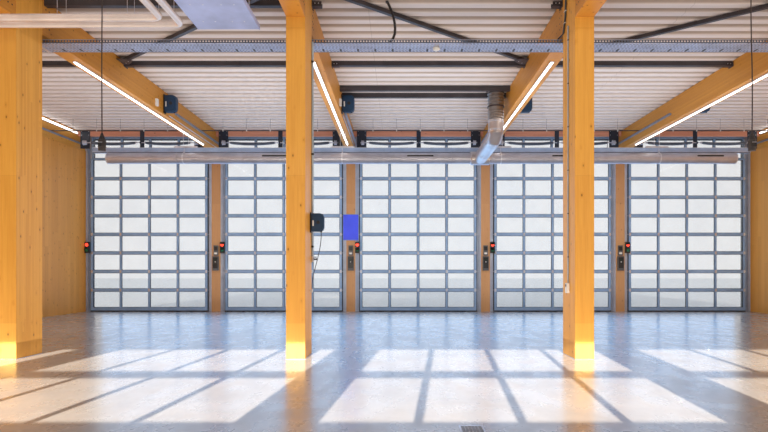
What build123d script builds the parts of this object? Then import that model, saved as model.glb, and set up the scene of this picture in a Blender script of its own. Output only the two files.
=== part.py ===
from build123d import *
import math
import os

# Fire station vehicle hall: five bays wide, drive-through, glued timber frame under a trapezoidal steel roof deck,
# a glazed sectional door in every bay of both long walls. Millimetres, +Z up, +Y towards the back door wall,
# origin at ground level under the middle of the floor slab.

# Grid and heights above the finished floor
bay_count = 5
bay_width = 4500
slab_thickness = 100
beam_underside = 5330
beam_depth = 600

# Timber frame
timber_width = 300
mid_column_depth = 640
wall_post_depth = 400
beam_span = 9300
timber_chamfer = 6

# Roof deck sheet and the roof over it
rib_pitch = 310
rib_depth = 135
rib_bottom_flange = 145
rib_web_run = 60
deck_sheet = 2
insulation_thickness = 180
parapet_rise = 190
coping_overhang = 30
coping_thickness = 40

# Walls
end_cladding_thickness = 80
pier_cladding_thickness = 100
pier_lining_thickness = 20
fascia_drop = 110
panel_gap_at_posts = 0.5

# Sectional doors
leaf_side_room = 150
leaf_thickness = 40
leaf_setback = 20
sections_per_leaf = 8
bottom_section_height = 718
section_pitch = 622
section_gap = 0.6
rail_half_height = 46
bottom_rail_height = 140
side_stile_width = 74
glass_thickness = 6
floor_seal_gap = 0.3
back_glazed_sections = range(8)
front_glazed_sections = range(2, 4)

# Door tracks
track_width = 60
track_depth = 40
track_wall = 4
track_plate_thickness = 12
track_plate_lap = 10
track_leg_thickness = 10
track_bend_radius = 380
track_bend_corners = 3
track_above_beam_foot = 200
track_run_length = 3480
track_bracket_length = 60
track_bracket_shares = (0.15, 0.9)

# Transom over each door
transom_depth = 58
transom_frame = 70
transom_lap = 42
transom_head_above_beam_foot = 530

# Spring shaft over each door
spring_header_depth = 100
spring_header_height = 180
spring_header_setback = 420
shaft_radius = 16
shaft_above_beam_foot = 180
spring_radius = 46
spring_inner_gap = 90
spring_outer_gap = 165
drum_radius = 85
drum_length = 90
drum_clearance = 15
end_plate_thickness = 10
end_plate_width = 310
end_plate_track_gap = 20
centre_plate_width = 140

# Roof bracing, all square tube
strut_size = 100
strut_offset = 3150
mid_strut_offset = 410
brace_size = 70
brace_near_offset = -260
brace_far_offset = 3000
trimmer_width = 90
trimmer_height = 120
trimmer_gap = 15

# Extract duct, its roof outlet and the rail beside it
header_duct_radius = 155
header_duct_end_gap = 2200
header_duct_offset = 6850
header_duct_below_beams = 765
tee_length = 560
branch_radius = 190
branch_offset = 5050
branch_from_beam_line = 450
branch_lean = 140
branch_elbow_below_beams = 590
sleeve_foot_above_beam_foot = 140
sleeve_length = 380
sleeve_wall = 24
outlet_clearance = 22
curb_wall = 108
curb_height = 260
cowl_neck_radius = 267
cowl_neck_height = 64
cowl_flare_height = 64
cowl_radius = 430
cowl_skirt_height = 64
cowl_cap_height = 128
cowl_cap_radius = 170
rail_end_gap = 1700
rail_beside_duct = 130
rail_width = 100
rail_height = 150
rail_over_duct = 3
rail_wall = 6
rail_slot = 36
hanger_channel_length = 660
hanger_channel_size = 41
hanger_plate_thickness = 6
hanger_rod_radius = 6

# Cable tray behind the middle columns
tray_width = 400
tray_height = 60
tray_sheet = 3
tray_below_beams = 130
tray_gap_behind_column = 40
stirrup_thickness = 5
stirrup_width = 60

# Heating pipes and radiant panel near the front
heating_below_beams = 410
heating_pipe_radius = 50
heating_pipe_spacing = 210
heating_pipe_offset = 990
heating_turn_before_beam_line = 1510
panel_width = 900
panel_length = 6000
panel_thickness = 60
panel_sheet = 7
panel_before_beam_line = 410
panel_start = 890
panel_hanger_shares = (0.08, 0.5, 0.92)
hanger_wire_radius = 4
pipe_hanger_start = 350
pipe_hanger_spacing = 980
seat_gap = 0.3

# Cable rail near the back doors
cable_rail_radius = 15
cable_rail_above_beam_foot = 240
cable_rail_offset = 7600
cable_rail_spacing = 710

# Lights under the beams
light_width = 70
light_height = 55
light_length = 6900
light_start = 1500
wall_light_above_beam_foot = 500
wall_light_gap = 80
wall_light_end_gap = 540

# Floor drains
drain_width = 220
drain_depth = 60
drain_length = 4500
drain_start = 4000
drain_frame = 18
drain_slots = 3
drain_play = 1

# Fittings
reel_height = 430
reel_reach = 330
reel_width = 180
reel_bracket = 30
reel_offset = 5150
reel_above_beam_foot = 270
reel_outlet_width = 30
reel_outlet_before_nose = 72
reel_outlet_drop = 10
column_reel_height = 300
column_reel_level = 2170
pipe_radius = 18
air_pipe_bottom = 1520
socket_width = 80
socket_height = 160
socket_depth = 45
socket_level = 1100
conduit_radius = 11
board_width = 530
board_height = 870
board_level = 2815
board_thickness = 25
control_width = 200
control_height = 480
control_level = 1610
control_depth = 90
control_gap = 20
handset_height = 340
handset_width = 150
signal_width = 150
signal_height = 370
signal_depth = 120
signal_level = 2140
detector_radius = 60
detector_height = 50

# Pendant cables, and the hose of the reel on the third column
pendant_radius = 7
pendant_offset = -1900
left_pendant_shift = 73
right_pendant_shift = -639
rose_radius = 45
rose_height = 40
connector_level = 2910
connector_radius = 45
connector_length = 140
grip_radius = 20
grip_length = 60
hose_radius = 6
hose_clip_width = 30
hose_clip_reach = 45
hose_clip_height = 50

# The hose's route between its two ends: out from the column, along Y from the reel's middle, and above the floor
hose_points = [
    (180, 0, 1910), (164, -5, 1772), (134, -9, 1624), (98, -11, 1478), (62, -10, 1353), (39, -5, 1245), (29, 0, 1150),
]
hose_foot = (29, 0, 1070)
arc_share_of_run = 0.45

# Flats that stand for each kind of round section
wire_sides = 4
shaft_sides = 4
hose_sides = 4
connector_sides = 12
pipe_sides = 8
spring_sides = 6
heating_sides = 10
detector_sides = 12
reel_nose_flats = 6
duct_sides = 16

# Worked-out places across the bays
floor_top = slab_thickness
grid_lines = [(i - bay_count / 2) * bay_width for i in range(bay_count + 1)]
inner_grid_lines = grid_lines[1:-1]
third_line, fourth_line = grid_lines[2], grid_lines[3]
bay_centres = [(i - (bay_count - 1) / 2) * bay_width for i in range(bay_count)]
half_timber = timber_width / 2
end_grid = grid_lines[-1]
end_wall_face = end_grid - half_timber
frame_half_length = end_grid + half_timber
end_outer = frame_half_length + end_cladding_thickness
clear_half_bay = bay_width / 2 - half_timber
half_leaf = clear_half_bay - leaf_side_room
transom_half_width = clear_half_bay - pier_lining_thickness

# Worked-out places through the hall
post_inner = mid_column_depth / 2 + beam_span
post_outer = post_inner + wall_post_depth
wall_outer = post_outer + pier_cladding_thickness
leaf_inner = post_inner + leaf_setback
leaf_outer = leaf_inner + leaf_thickness
track_middle = leaf_inner + leaf_thickness / 2
track_plate_inner = leaf_outer + track_plate_lap
track_plate_outer = track_plate_inner + track_plate_thickness
transom_outer = track_plate_outer + transom_depth
header_face = post_inner - spring_header_setback - spring_header_depth / 2
shaft_offset = header_face - end_plate_thickness - drum_clearance - drum_radius
tray_near = mid_column_depth / 2 + tray_gap_behind_column
rail_offset = header_duct_offset + rail_beside_duct

# Worked-out heights
beam_bottom = floor_top + beam_underside
beam_top = beam_bottom + beam_depth
deck_top = beam_top + rib_depth + deck_sheet
roof_top = deck_top + insulation_thickness
parapet_top = roof_top + parapet_rise
fascia_bottom = beam_top - fascia_drop
leaf_top = floor_top + bottom_section_height + (sections_per_leaf - 1) * section_pitch + rail_half_height
transom_bottom = leaf_top - transom_lap
transom_top = beam_bottom + transom_head_above_beam_foot
track_level = beam_bottom + track_above_beam_foot
track_top = track_level + track_depth / 2
shaft_level = beam_bottom + shaft_above_beam_foot
strut_level = beam_top - strut_size / 2
tray_level = beam_bottom - tray_below_beams
heating_level = beam_bottom - heating_below_beams
duct_level = beam_bottom - header_duct_below_beams
sleeve_bottom = beam_bottom + sleeve_foot_above_beam_foot
sleeve_top = sleeve_bottom + sleeve_length
curb_top = roof_top + curb_height
duct_rise_at_rail = math.sqrt(branch_radius**2 - (rail_beside_duct - rail_width / 2) ** 2)
rail_bottom = duct_level + duct_rise_at_rail + rail_over_duct
rail_top = rail_bottom + rail_height

# Worked-out places of the roof outlet
branch_x = fourth_line - branch_from_beam_line
outlet_half_hole = branch_radius + outlet_clearance
sleeve_radius = branch_radius + sleeve_wall


def rib_flange_near(y):
    """The middle of the deck's bottom flange that lies nearest to y."""
    first = -post_outer + rib_bottom_flange / 2
    return first + round((y - first) / rib_pitch) * rib_pitch


# Worked-out places of the pendants and the column's reel
pendant_places = {"left": bay_centres[1] + left_pendant_shift, "right": bay_centres[3] + right_pendant_shift}
pendant_y = rib_flange_near(pendant_offset)
column_reel_offset = mid_column_depth / 2 - 3 * pipe_radius - reel_width / 2
column_reel_middle = floor_top + column_reel_level


def block(x0, x1, y0, y1, z0, z1):
    """A plain box between two corners."""
    low = (min(x0, x1), min(y0, y1), min(z0, z1))
    return Pos(*low) * Box(
        abs(x1 - x0), abs(y1 - y0), abs(z1 - z0), align=(Align.MIN, Align.MIN, Align.MIN)
    )


def round_bar(start, end, radius, sides):
    """A bar between two points whose round section is drawn with flats, a corner of it on top or facing X."""
    first, last = Vector(*start), Vector(*end)
    along = (last - first).normalized()
    upright = abs(along.Z) > abs(along.X) + abs(along.Y)
    plane = Plane(origin=first, x_dir=(1, 0, 0) if upright else (0, 0, 1), z_dir=along)
    return extrude(plane * RegularPolygon(radius, sides), amount=(last - first).length)


def upright_prism(radius, bottom, top):
    """A round upright piece on the roof outlet's axis."""
    return round_bar((branch_x, branch_offset, bottom), (branch_x, branch_offset, top), radius, duct_sides)


def timber(x0, x1, y0, y1, z0, z1, axis):
    """A glued timber member with its long edges eased."""
    member = block(x0, x1, y0, y1, z0, z1)
    return chamfer(member.edges().filter_by(axis), timber_chamfer)


def frame_with_opening(outer, depth, border):
    """An upright frame: outer is left, right, bottom, top, and border the width of its four sides in that order."""
    left, right, bottom, top = outer
    inner_left, inner_right = left + border[0], right - border[1]
    inner_bottom, inner_top = bottom + border[2], top - border[3]
    slab = block(left, right, *depth, bottom, top)
    return slab - block(inner_left, inner_right, depth[0] - 1, depth[1] + 1, inner_bottom, inner_top)


def in_every_bay(pieces):
    """Copies of the middle bay's pieces, which are built about X zero, in each bay."""
    return [Pos(x, 0, 0) * piece for x in bay_centres for piece in pieces]


def turned(pieces):
    """Pieces of the back wall, turned round for the front wall."""
    return [Rot(0, 0, 180) * piece for piece in pieces]


def under_deck(x, y):
    """A place on the underside of the deck, on the bottom flange and as near to y as it allows."""
    reach = rib_bottom_flange / 2 - 2 * hanger_wire_radius
    middle = rib_flange_near(y)
    return (x, min(max(y, middle - reach), middle + reach), beam_top - seat_gap)


def write(name, pieces):
    """Writes one node, a single solid or several that don't touch."""
    pieces = pieces if isinstance(pieces, list) else [pieces]
    solids = [solid for piece in pieces for solid in piece.solids()]
    shape = solids[0] if len(solids) == 1 else Compound(children=solids)
    export_step(shape, f"parts/{name}.step")


# Floor


def drain_place(x):
    """The middle of a bay's drain channel, on the front side."""
    return x, -(drain_start + drain_length / 2)


def floor_slab():
    """The concrete floor with its drain channels."""
    slab = block(-end_outer, end_outer, -wall_outer, wall_outer, 0, floor_top)
    for x, y in map(drain_place, bay_centres):
        slab -= block(
            x - drain_width / 2, x + drain_width / 2,
            y - drain_length / 2, y + drain_length / 2,
            floor_top - drain_depth, floor_top,
        )
    return slab


def drain_grate():
    """The steel grating that lies in the middle bay's channel."""
    x, y = drain_place(0)
    half = drain_width / 2 - drain_play
    length = drain_length - 2 * drain_play
    slot = (length - (drain_slots + 1) * drain_frame) / drain_slots
    plate = block(x - half, x + half, y - length / 2, y + length / 2, floor_top - drain_depth, floor_top)
    slots = [
        Pos(x, y + (i - (drain_slots - 1) / 2) * (slot + drain_frame), floor_top)
        * Box(2 * (half - drain_frame), slot, 2 * drain_depth + 2)
        for i in range(drain_slots)
    ]
    return plate - slots


# Timber frame


def mid_column(x):
    """A middle column, up to the top of the beams that butt against it."""
    half = mid_column_depth / 2
    return timber(x - half_timber, x + half_timber, -half, half, floor_top, beam_top, Axis.Z)


def wall_post(x):
    """A post between two doors of the back wall."""
    return block(x - half_timber, x + half_timber, post_inner, post_outer, floor_top, beam_top)


def beam(x, side):
    """A roof beam from a middle column to the post of one door wall. side is 1 for the back and -1 for the front."""
    near, far = side * mid_column_depth / 2, side * post_inner
    return timber(x - half_timber, x + half_timber, near, far, beam_bottom, beam_top, Axis.Y)


def spring_header():
    """The timber member inside the back wall that carries the spring shaft."""
    return block(-clear_half_bay, clear_half_bay, header_face, header_face + spring_header_depth,
                 beam_top - spring_header_height, beam_top)


def wall_plate():
    """The timber plate over a transom, between two posts of the back wall."""
    return block(-clear_half_bay, clear_half_bay, track_plate_outer, post_outer, transom_top, beam_top)


# Roof


def deck_profile():
    """The closed outline of the folded deck sheet, in the YZ plane."""
    slope = math.atan2(rib_depth, rib_web_run)
    shift = deck_sheet * math.tan(slope / 2)
    flange_top = rib_pitch - rib_bottom_flange - 2 * rib_web_run
    lower, upper = [], []
    y = -post_outer
    while y + rib_pitch <= post_outer:
        a, b = y + rib_bottom_flange, y + rib_bottom_flange + rib_web_run
        c, d = b + flange_top, b + flange_top + rib_web_run
        lower += [(y, 0), (a, 0), (b, rib_depth), (c, rib_depth)]
        upper += [(y + shift, deck_sheet), (a - shift, deck_sheet),
                  (b - shift, rib_depth + deck_sheet), (c + shift, rib_depth + deck_sheet)]
        y = d
    lower += [(y, 0), (min(y + rib_bottom_flange, post_outer), 0)]
    upper += [(y + shift, deck_sheet), (min(y + rib_bottom_flange, post_outer), deck_sheet)]
    upper[0] = (-post_outer, deck_sheet)
    return lower + upper[::-1]


def outlet_hole(z0, z1):
    """The square hole through the roof for the extract duct."""
    half = outlet_half_hole
    return block(branch_x - half, branch_x + half, branch_offset - half, branch_offset + half, z0 - 1, z1 + 1)


def roof_deck():
    """The trapezoidal steel sheet, its ribs running along the door walls."""
    plane = Plane(origin=(-frame_half_length, 0, beam_top), x_dir=(0, 1, 0), z_dir=(1, 0, 0))
    sheet = extrude(plane * make_face(Polyline(*deck_profile(), close=True)), amount=2 * frame_half_length)
    return sheet - outlet_hole(beam_top, deck_top)


def roof_insulation():
    """The insulation board and roofing on the deck."""
    board = block(-frame_half_length, frame_half_length, -post_outer, post_outer, deck_top, roof_top)
    return board - outlet_hole(deck_top, roof_top)


def fascia():
    """The band over the doors and round the roof edge of the back wall."""
    return block(-end_outer, end_outer, post_outer, wall_outer, fascia_bottom, parapet_top)


def end_cladding(side):
    """The outer face of an end wall, up to the parapet."""
    return block(side * frame_half_length, side * end_outer, -post_outer, post_outer, floor_top, parapet_top)


def coping():
    """The metal cap round the top of the parapet."""
    over = coping_overhang
    outer = Rectangle(2 * (end_outer + over), 2 * (wall_outer + over))
    inner = Rectangle(2 * (frame_half_length - over), 2 * (post_outer - over))
    return extrude(Pos(0, 0, parapet_top) * (outer - inner), amount=coping_thickness)


def roof_curb():
    """The upstand that the extract outlet stands on."""
    half = outlet_half_hole + curb_wall
    curb = block(branch_x - half, branch_x + half, branch_offset - half, branch_offset + half, roof_top, curb_top)
    return curb - outlet_hole(roof_top, curb_top)


def roof_cowl():
    """The round outlet on the curb: a neck that flares into a wide skirt under a tapered cap."""
    stages = (
        (cowl_neck_height, cowl_neck_radius, cowl_neck_radius),
        (cowl_flare_height, cowl_neck_radius, cowl_radius),
        (cowl_skirt_height, cowl_radius, cowl_radius),
        (cowl_cap_height, cowl_radius, cowl_cap_radius),
    )
    flat_share = math.cos(math.pi / duct_sides)
    z = curb_top
    rings = []
    for height, low, high in stages:
        wide, narrow = max(low, high), min(low, high)
        lean = math.degrees(math.atan2((wide - narrow) * flat_share, height))
        ring = extrude(RegularPolygon(wide, duct_sides), height, taper=lean)
        turned = ring if low >= high else Pos(0, 0, height) * Rot(180, 0, 0) * ring
        rings.append(Pos(branch_x, branch_offset, z) * turned)
        z += height
    return rings[0] + rings[1:]


# Walls


def end_wall_panels(side):
    """The wall elements of an end wall, between its posts and column and under the beams."""
    gap = panel_gap_at_posts
    near, far = mid_column_depth / 2 + gap, post_inner - gap
    return [
        block(side * end_wall_face, side * frame_half_length, half * near, half * far, floor_top, beam_bottom)
        for half in (-1, 1)
    ]


def pier(x):
    """The cladding of a back wall post: its outer face and the linings of the door reveals beside it."""
    first, last = x == grid_lines[0], x == grid_lines[-1]
    left = -end_outer if first else x - half_timber - pier_lining_thickness
    right = end_outer if last else x + half_timber + pier_lining_thickness
    skin = block(left, right, post_outer, wall_outer, floor_top, fascia_bottom)
    sides = [side for side, missing in ((-1, first), (1, last)) if not missing]
    linings = [
        block(x + side * half_timber, x + side * (half_timber + pier_lining_thickness),
              track_plate_outer, post_outer, floor_top, fascia_bottom)
        for side in sides
    ]
    return skin + linings


# Sectional doors


def section_bounds(index):
    """The bottom and top of one section of a leaf."""
    joint = floor_top + bottom_section_height + (index - 1) * section_pitch
    bottom = floor_top + floor_seal_gap if index == 0 else joint + section_gap / 2
    top = leaf_top if index == sections_per_leaf - 1 else joint + section_pitch - section_gap / 2
    return bottom, top


def leaf_section(index, glazed):
    """One section of the middle bay's leaf: a frame for its clear sheet, or a closed panel."""
    bottom, top = section_bounds(index)
    if index not in glazed:
        return block(-half_leaf, half_leaf, leaf_inner, leaf_outer, bottom, top)
    lower_rail = bottom_rail_height if index == 0 else rail_half_height
    border = (side_stile_width, side_stile_width, lower_rail, rail_half_height)
    return frame_with_opening((-half_leaf, half_leaf, bottom, top), (leaf_inner, leaf_outer), border)


def door_leaf(glazed):
    """The middle bay's closed leaf, section on section."""
    return [leaf_section(index, glazed) for index in range(sections_per_leaf)]


def leaf_glazing(glazed):
    """The clear sheet on the outer face of the middle bay's leaf, over its glazed sections."""
    half = half_leaf - side_stile_width / 2
    bottom, _ = section_bounds(glazed[0])
    _, top = section_bounds(glazed[-1])
    lower_rail = bottom_rail_height if glazed[0] == 0 else rail_half_height
    return block(-half, half, leaf_outer, leaf_outer + glass_thickness, bottom + lower_rail / 2,
                 top - rail_half_height / 2)


def track_profile():
    """The right-hand track's cross-section in plan: a channel whose mouth faces the leaf."""
    shell = Rectangle(track_width, track_depth)
    mouth = Pos(-track_wall, 0) * Rectangle(track_width, track_depth - 2 * track_wall)
    return shell - mouth


def track_path(x):
    """The track's line: up beside the leaf, round the bend and back under the roof."""
    foot = track_level - track_bend_radius
    turn = math.pi / 2 / track_bend_corners
    reach = track_bend_radius / math.cos(turn / 2)
    angles = [(i + 0.5) * turn for i in range(track_bend_corners)]
    centre = track_middle - track_bend_radius
    corners = [(x, centre + reach * math.cos(a), foot + reach * math.sin(a)) for a in angles]
    return Polyline((x, track_middle, floor_top), *corners, (x, centre - track_run_length, track_level))


def right_door_track():
    """The right-hand track of the middle bay, with the angle that holds it to the post and its spacers on the beam."""
    leg_face = clear_half_bay - track_leg_thickness
    x = leg_face - track_width / 2
    track = sweep(Pos(x, track_middle, floor_top) * track_profile(), path=track_path(x), transition=Transition.RIGHT)
    jamb = [
        (half_leaf - track_plate_lap, track_plate_inner), (leg_face, track_plate_inner), (leg_face, post_inner),
        (clear_half_bay, post_inner), (clear_half_bay, track_plate_outer),
        (half_leaf - track_plate_lap, track_plate_outer),
    ]
    angle = extrude(Pos(0, 0, floor_top) * make_face(Polyline(*jamb, close=True)), amount=transom_top - floor_top)
    run_start = track_middle - track_bend_radius
    spacers = [
        Pos(clear_half_bay - track_leg_thickness / 2, run_start - share * track_run_length, track_level)
        * Box(track_leg_thickness, track_bracket_length, track_depth)
        for share in track_bracket_shares
    ]
    return track + angle + spacers


def transom():
    """The fixed glazed light over the middle bay's door."""
    outer = (-transom_half_width, transom_half_width, transom_bottom, transom_top)
    return frame_with_opening(outer, (track_plate_outer, transom_outer), (transom_frame,) * 4)


def transom_glazing():
    """The clear sheet of a transom, on its outer face."""
    edge = transom_frame / 2
    half = transom_half_width - edge
    return block(-half, half, transom_outer, transom_outer + glass_thickness, transom_bottom + edge,
                 transom_top - edge)


def spring_shaft():
    """The shaft over the middle bay's door with its two springs, two cable drums and three bearing plates."""
    y, z = shaft_offset, shaft_level
    plate_face = header_face - end_plate_thickness
    plate_foot = z - 2 * drum_radius
    plate_outer = clear_half_bay - track_leg_thickness - track_width - end_plate_track_gap
    plate_inner = plate_outer - end_plate_width
    drum_middle = plate_inner + end_plate_width / 2 - drum_length / 2
    spring_start = centre_plate_width / 2 + spring_inner_gap
    spring_end = drum_middle - drum_length / 2 - spring_outer_gap
    bearing_half = drum_radius / 2

    def along(start, end, radius, sides):
        return round_bar((start, y, z), (end, y, z), radius, sides)

    def bearing(start):
        return block(start, start + end_plate_thickness, y - bearing_half, plate_face, z - bearing_half,
                     z + bearing_half)

    half_shaft = drum_middle + drum_length
    pieces = [
        block(-centre_plate_width / 2, centre_plate_width / 2, plate_face, header_face, plate_foot, beam_top),
        bearing(-end_plate_thickness / 2),
    ]
    for side in (-1, 1):
        pieces += [
            along(side * spring_start, side * spring_end, spring_radius, spring_sides),
            along(side * (drum_middle - drum_length / 2), side * (drum_middle + drum_length / 2), drum_radius,
                  spring_sides),
            block(side * plate_inner, side * plate_outer, plate_face, header_face, plate_foot, beam_top),
        ]
    pieces += [bearing(half_shaft - end_plate_thickness), bearing(-half_shaft)]
    return along(-half_shaft, half_shaft, shaft_radius, shaft_sides) + pieces


# Roof bracing


def roof_struts():
    """Square tubes between the beams behind the middle columns, and one on the column line."""
    places = [(x, strut_offset) for x in bay_centres] + [(bay_centres[1], mid_strut_offset)]
    return [
        Pos(x, y, strut_level) * Box(2 * clear_half_bay, strut_size, strut_size)
        for x, y in places
    ]


def roof_braces():
    """The three diagonals of the roof's wind bracing, in a zigzag from beam to beam."""
    run = brace_far_offset - brace_near_offset
    braces = []
    for bay, rising in ((1, -1), (2, 1), (3, -1)):
        x = bay_centres[bay]
        angle = math.degrees(math.atan2(rising * run, 2 * clear_half_bay))
        bar = Pos(x, brace_near_offset + run / 2, strut_level) * Rot(0, 0, angle) * Box(
            3 * clear_half_bay, brace_size, brace_size
        )
        braces.append(bar & block(x - clear_half_bay, x + clear_half_bay, -bay_width, bay_width, 0, deck_top))
    return braces


def roof_bracing():
    """All the bracing, its struts and braces made one where they cross."""
    first, *others = roof_struts() + roof_braces()
    return (first + others).solids() + roof_trimmers()


def roof_trimmers():
    """The two steel members beside the roof outlet, between the middle beams."""
    x = bay_centres[bay_count // 2]
    clear = sleeve_radius + trimmer_gap + trimmer_width / 2
    return [
        block(x - clear_half_bay, x + clear_half_bay, y - trimmer_width / 2, y + trimmer_width / 2,
              beam_top - trimmer_height, beam_top)
        for y in (branch_offset - clear, branch_offset + clear)
    ]


# Extract system


def extract_duct():
    """The header duct across the bays with its tee, and the branch up to the flexible sleeve."""
    y, z = header_duct_offset, duct_level
    foot_x = branch_x - branch_lean
    half = end_wall_face - header_duct_end_gap
    header = round_bar((-half, y, z), (half, y, z), header_duct_radius, duct_sides)
    tee = round_bar((foot_x - tee_length / 2, y, z), (foot_x + tee_length / 2, y, z), branch_radius, duct_sides)
    foot = (foot_x, y, z)
    elbow = (branch_x, branch_offset, beam_bottom - branch_elbow_below_beams)
    head = (branch_x, branch_offset, sleeve_bottom)
    start = Plane(origin=foot, x_dir=(1, 0, 0), z_dir=Vector(*elbow) - Vector(*foot))
    branch = sweep(start * RegularPolygon(branch_radius, duct_sides), path=Polyline(foot, elbow, head),
                   transition=Transition.RIGHT)
    return header + tee + branch


def duct_sleeve():
    """The flexible collar between the branch and the roof outlet."""
    return upright_prism(sleeve_radius, sleeve_bottom, sleeve_top)


def outlet_pipe():
    """The straight pipe from the sleeve up through the roof to the cowl."""
    return upright_prism(branch_radius, sleeve_top, curb_top)


def extract_rail():
    """The aluminium rail beside the duct, a channel with a slot along its underside."""
    shell = Rectangle(rail_width, rail_height)
    hollow = Rectangle(rail_width - 2 * rail_wall, rail_height - 2 * rail_wall)
    slot = Pos(0, -rail_height / 2) * Rectangle(rail_slot, 4 * rail_wall)
    half = end_wall_face - rail_end_gap
    plane = Plane(origin=(-half, rail_offset, rail_bottom + rail_height / 2), x_dir=(0, 1, 0), z_dir=(1, 0, 0))
    return extrude(plane * (shell - hollow - slot), amount=2 * half)


def duct_hanger(x):
    """At an inner beam, a channel on two rods, with the plate and drop rod that carry the rail and the duct."""
    duct_top = duct_level + header_duct_radius
    size = hanger_channel_size
    level = rail_top + hanger_plate_thickness
    half = hanger_channel_length / 2
    channel = block(x - half, x + half, rail_offset - size / 2, rail_offset + size / 2, level, level + size)
    rods = [
        round_bar((place, rail_offset, level + size), (place, rail_offset, beam_bottom), hanger_rod_radius,
                  wire_sides)
        for place in (x - timber_width / 4, x + timber_width / 4)
    ]
    plate = block(x - size / 2, x + size / 2, header_duct_offset - size / 2, rail_offset + rail_width / 2,
                  rail_top, level)
    drop = round_bar((x, header_duct_offset, duct_top), (x, header_duct_offset, rail_top), hanger_rod_radius,
                     wire_sides)
    return channel + rods + plate + drop


# Cable tray


def cable_tray():
    """The sheet tray behind the middle columns, wall to wall."""
    middle = tray_near + tray_width / 2
    shell = Pos(middle, tray_height / 2) * Rectangle(tray_width, tray_height)
    hollow = Pos(middle, tray_height / 2 + tray_sheet) * Rectangle(tray_width - 2 * tray_sheet, tray_height)
    plane = Plane(origin=(-end_wall_face, 0, tray_level), x_dir=(0, 1, 0), z_dir=(1, 0, 0))
    return extrude(plane * (shell - hollow), amount=2 * end_wall_face)


def tray_stirrup(x):
    """A U-shaped stirrup under an inner beam that holds the tray."""
    middle = tray_near + tray_width / 2
    width = tray_width + 2 * stirrup_thickness
    height = beam_bottom - tray_level + stirrup_thickness
    outer = Pos(middle, height / 2 - stirrup_thickness) * Rectangle(width, height)
    inner = Pos(middle, height / 2) * Rectangle(tray_width, height)
    plane = Plane(origin=(x - stirrup_width / 2, 0, tray_level), x_dir=(0, 1, 0), z_dir=(1, 0, 0))
    return extrude(plane * (outer - inner), amount=stirrup_width)


# Heating


def heating_pipe(index):
    """A lagged pipe from the left end wall that turns beside the radiant panel and runs on to its far end."""
    z = heating_level
    y = -(heating_pipe_offset + index * heating_pipe_spacing)
    x = third_line - heating_turn_before_beam_line - index * heating_pipe_spacing
    bend = 2 * heating_pipe_radius
    end_y = -(panel_start + panel_length)
    path = Polyline((-end_wall_face, y, z), (x - bend, y, z), (x, y - bend, z), (x, end_y, z))
    start = Plane(origin=(-end_wall_face, y, z), x_dir=(0, 0, 1), z_dir=(1, 0, 0))
    return sweep(start * RegularPolygon(heating_pipe_radius, heating_sides), path=path, transition=Transition.RIGHT)


def radiant_panel():
    """The shallow steel panel with turned-up edges that hangs beside the pipes."""
    x = third_line - panel_before_beam_line - panel_width / 2
    y = -(panel_start + panel_length / 2)
    tray = Pos(x, y, heating_level) * Box(panel_width, panel_length, panel_thickness)
    hollow = Pos(x, y, heating_level + panel_sheet) * Box(
        panel_width - 2 * panel_sheet, panel_length - 2 * panel_sheet, panel_thickness
    )
    return tray - hollow


def heating_hangers():
    """Thin rods from the deck to the pipes and to the radiant panel."""
    turn = third_line - heating_turn_before_beam_line
    pipe_top = heating_level + heating_pipe_radius + seat_gap
    rows = [rib_flange_near(-(panel_start + share * panel_length)) for share in panel_hanger_shares]
    places = []
    for index in (0, 1):
        shift = index * heating_pipe_spacing
        places += [
            (x + pipe_hanger_start + k * pipe_hanger_spacing, -(heating_pipe_offset + shift))
            for x in grid_lines[:2]
            for k in range(int(bay_width // pipe_hanger_spacing))
            if x + pipe_hanger_start + k * pipe_hanger_spacing < turn - shift - 2 * heating_pipe_radius
        ]
        places += [(turn - shift, y) for y in rows]
    panel_base = heating_level - panel_thickness / 2 + panel_sheet
    panel_right = third_line - panel_before_beam_line - panel_thickness
    panel_left = panel_right - panel_width + 2 * panel_thickness
    ends = [(x, y, pipe_top) for x, y in places] + [(x, y, panel_base) for x in (panel_left, panel_right) for y in rows]
    return [round_bar((x, y, z), under_deck(x, y), hanger_wire_radius, wire_sides) for x, y, z in ends]


# Cable rail and lights


def cable_rail():
    """The thin rail near the middle bay's back door, hung from the deck."""
    y = rib_flange_near(cable_rail_offset)
    z = beam_bottom + cable_rail_above_beam_foot
    rail = round_bar((-clear_half_bay, y, z), (clear_half_bay, y, z), cable_rail_radius, shaft_sides)
    count = int((2 * clear_half_bay) // cable_rail_spacing)
    places = [(i - (count - 1) / 2) * cable_rail_spacing for i in range(count)]
    return rail + [round_bar((x, y, z), (x, y, beam_top), hanger_wire_radius, wire_sides) for x in places]


def beam_lights(side):
    """The light strips under the inner beams of one half of the hall, and along the top of its end walls."""
    near, far = side * light_start, side * (light_start + light_length)
    strips = [
        block(x - light_width / 2, x + light_width / 2, near, far, beam_bottom - light_height, beam_bottom)
        for x in inner_grid_lines
    ]
    level = beam_bottom + wall_light_above_beam_foot
    near = side * (strut_offset + strut_size / 2 + wall_light_gap)
    far = side * (post_inner - wall_light_end_gap)
    for end in (-1, 1):
        face = end * end_wall_face
        strips.append(block(face, face - end * light_height, near, far, level - light_width / 2,
                            level + light_width / 2))
    return strips


# Fittings


def reel_outline(reach, bracket, radius):
    """The side view of a reel's housing: straight at the bracket and round at the nose."""
    turns = [math.pi * (i / reel_nose_flats - 0.5) for i in range(reel_nose_flats + 1)]
    nose = [(reach - radius + radius * math.cos(t), radius * math.sin(t)) for t in turns]
    return make_face(Polyline((bracket, -radius), *nose, (bracket, radius), close=True))


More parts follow.
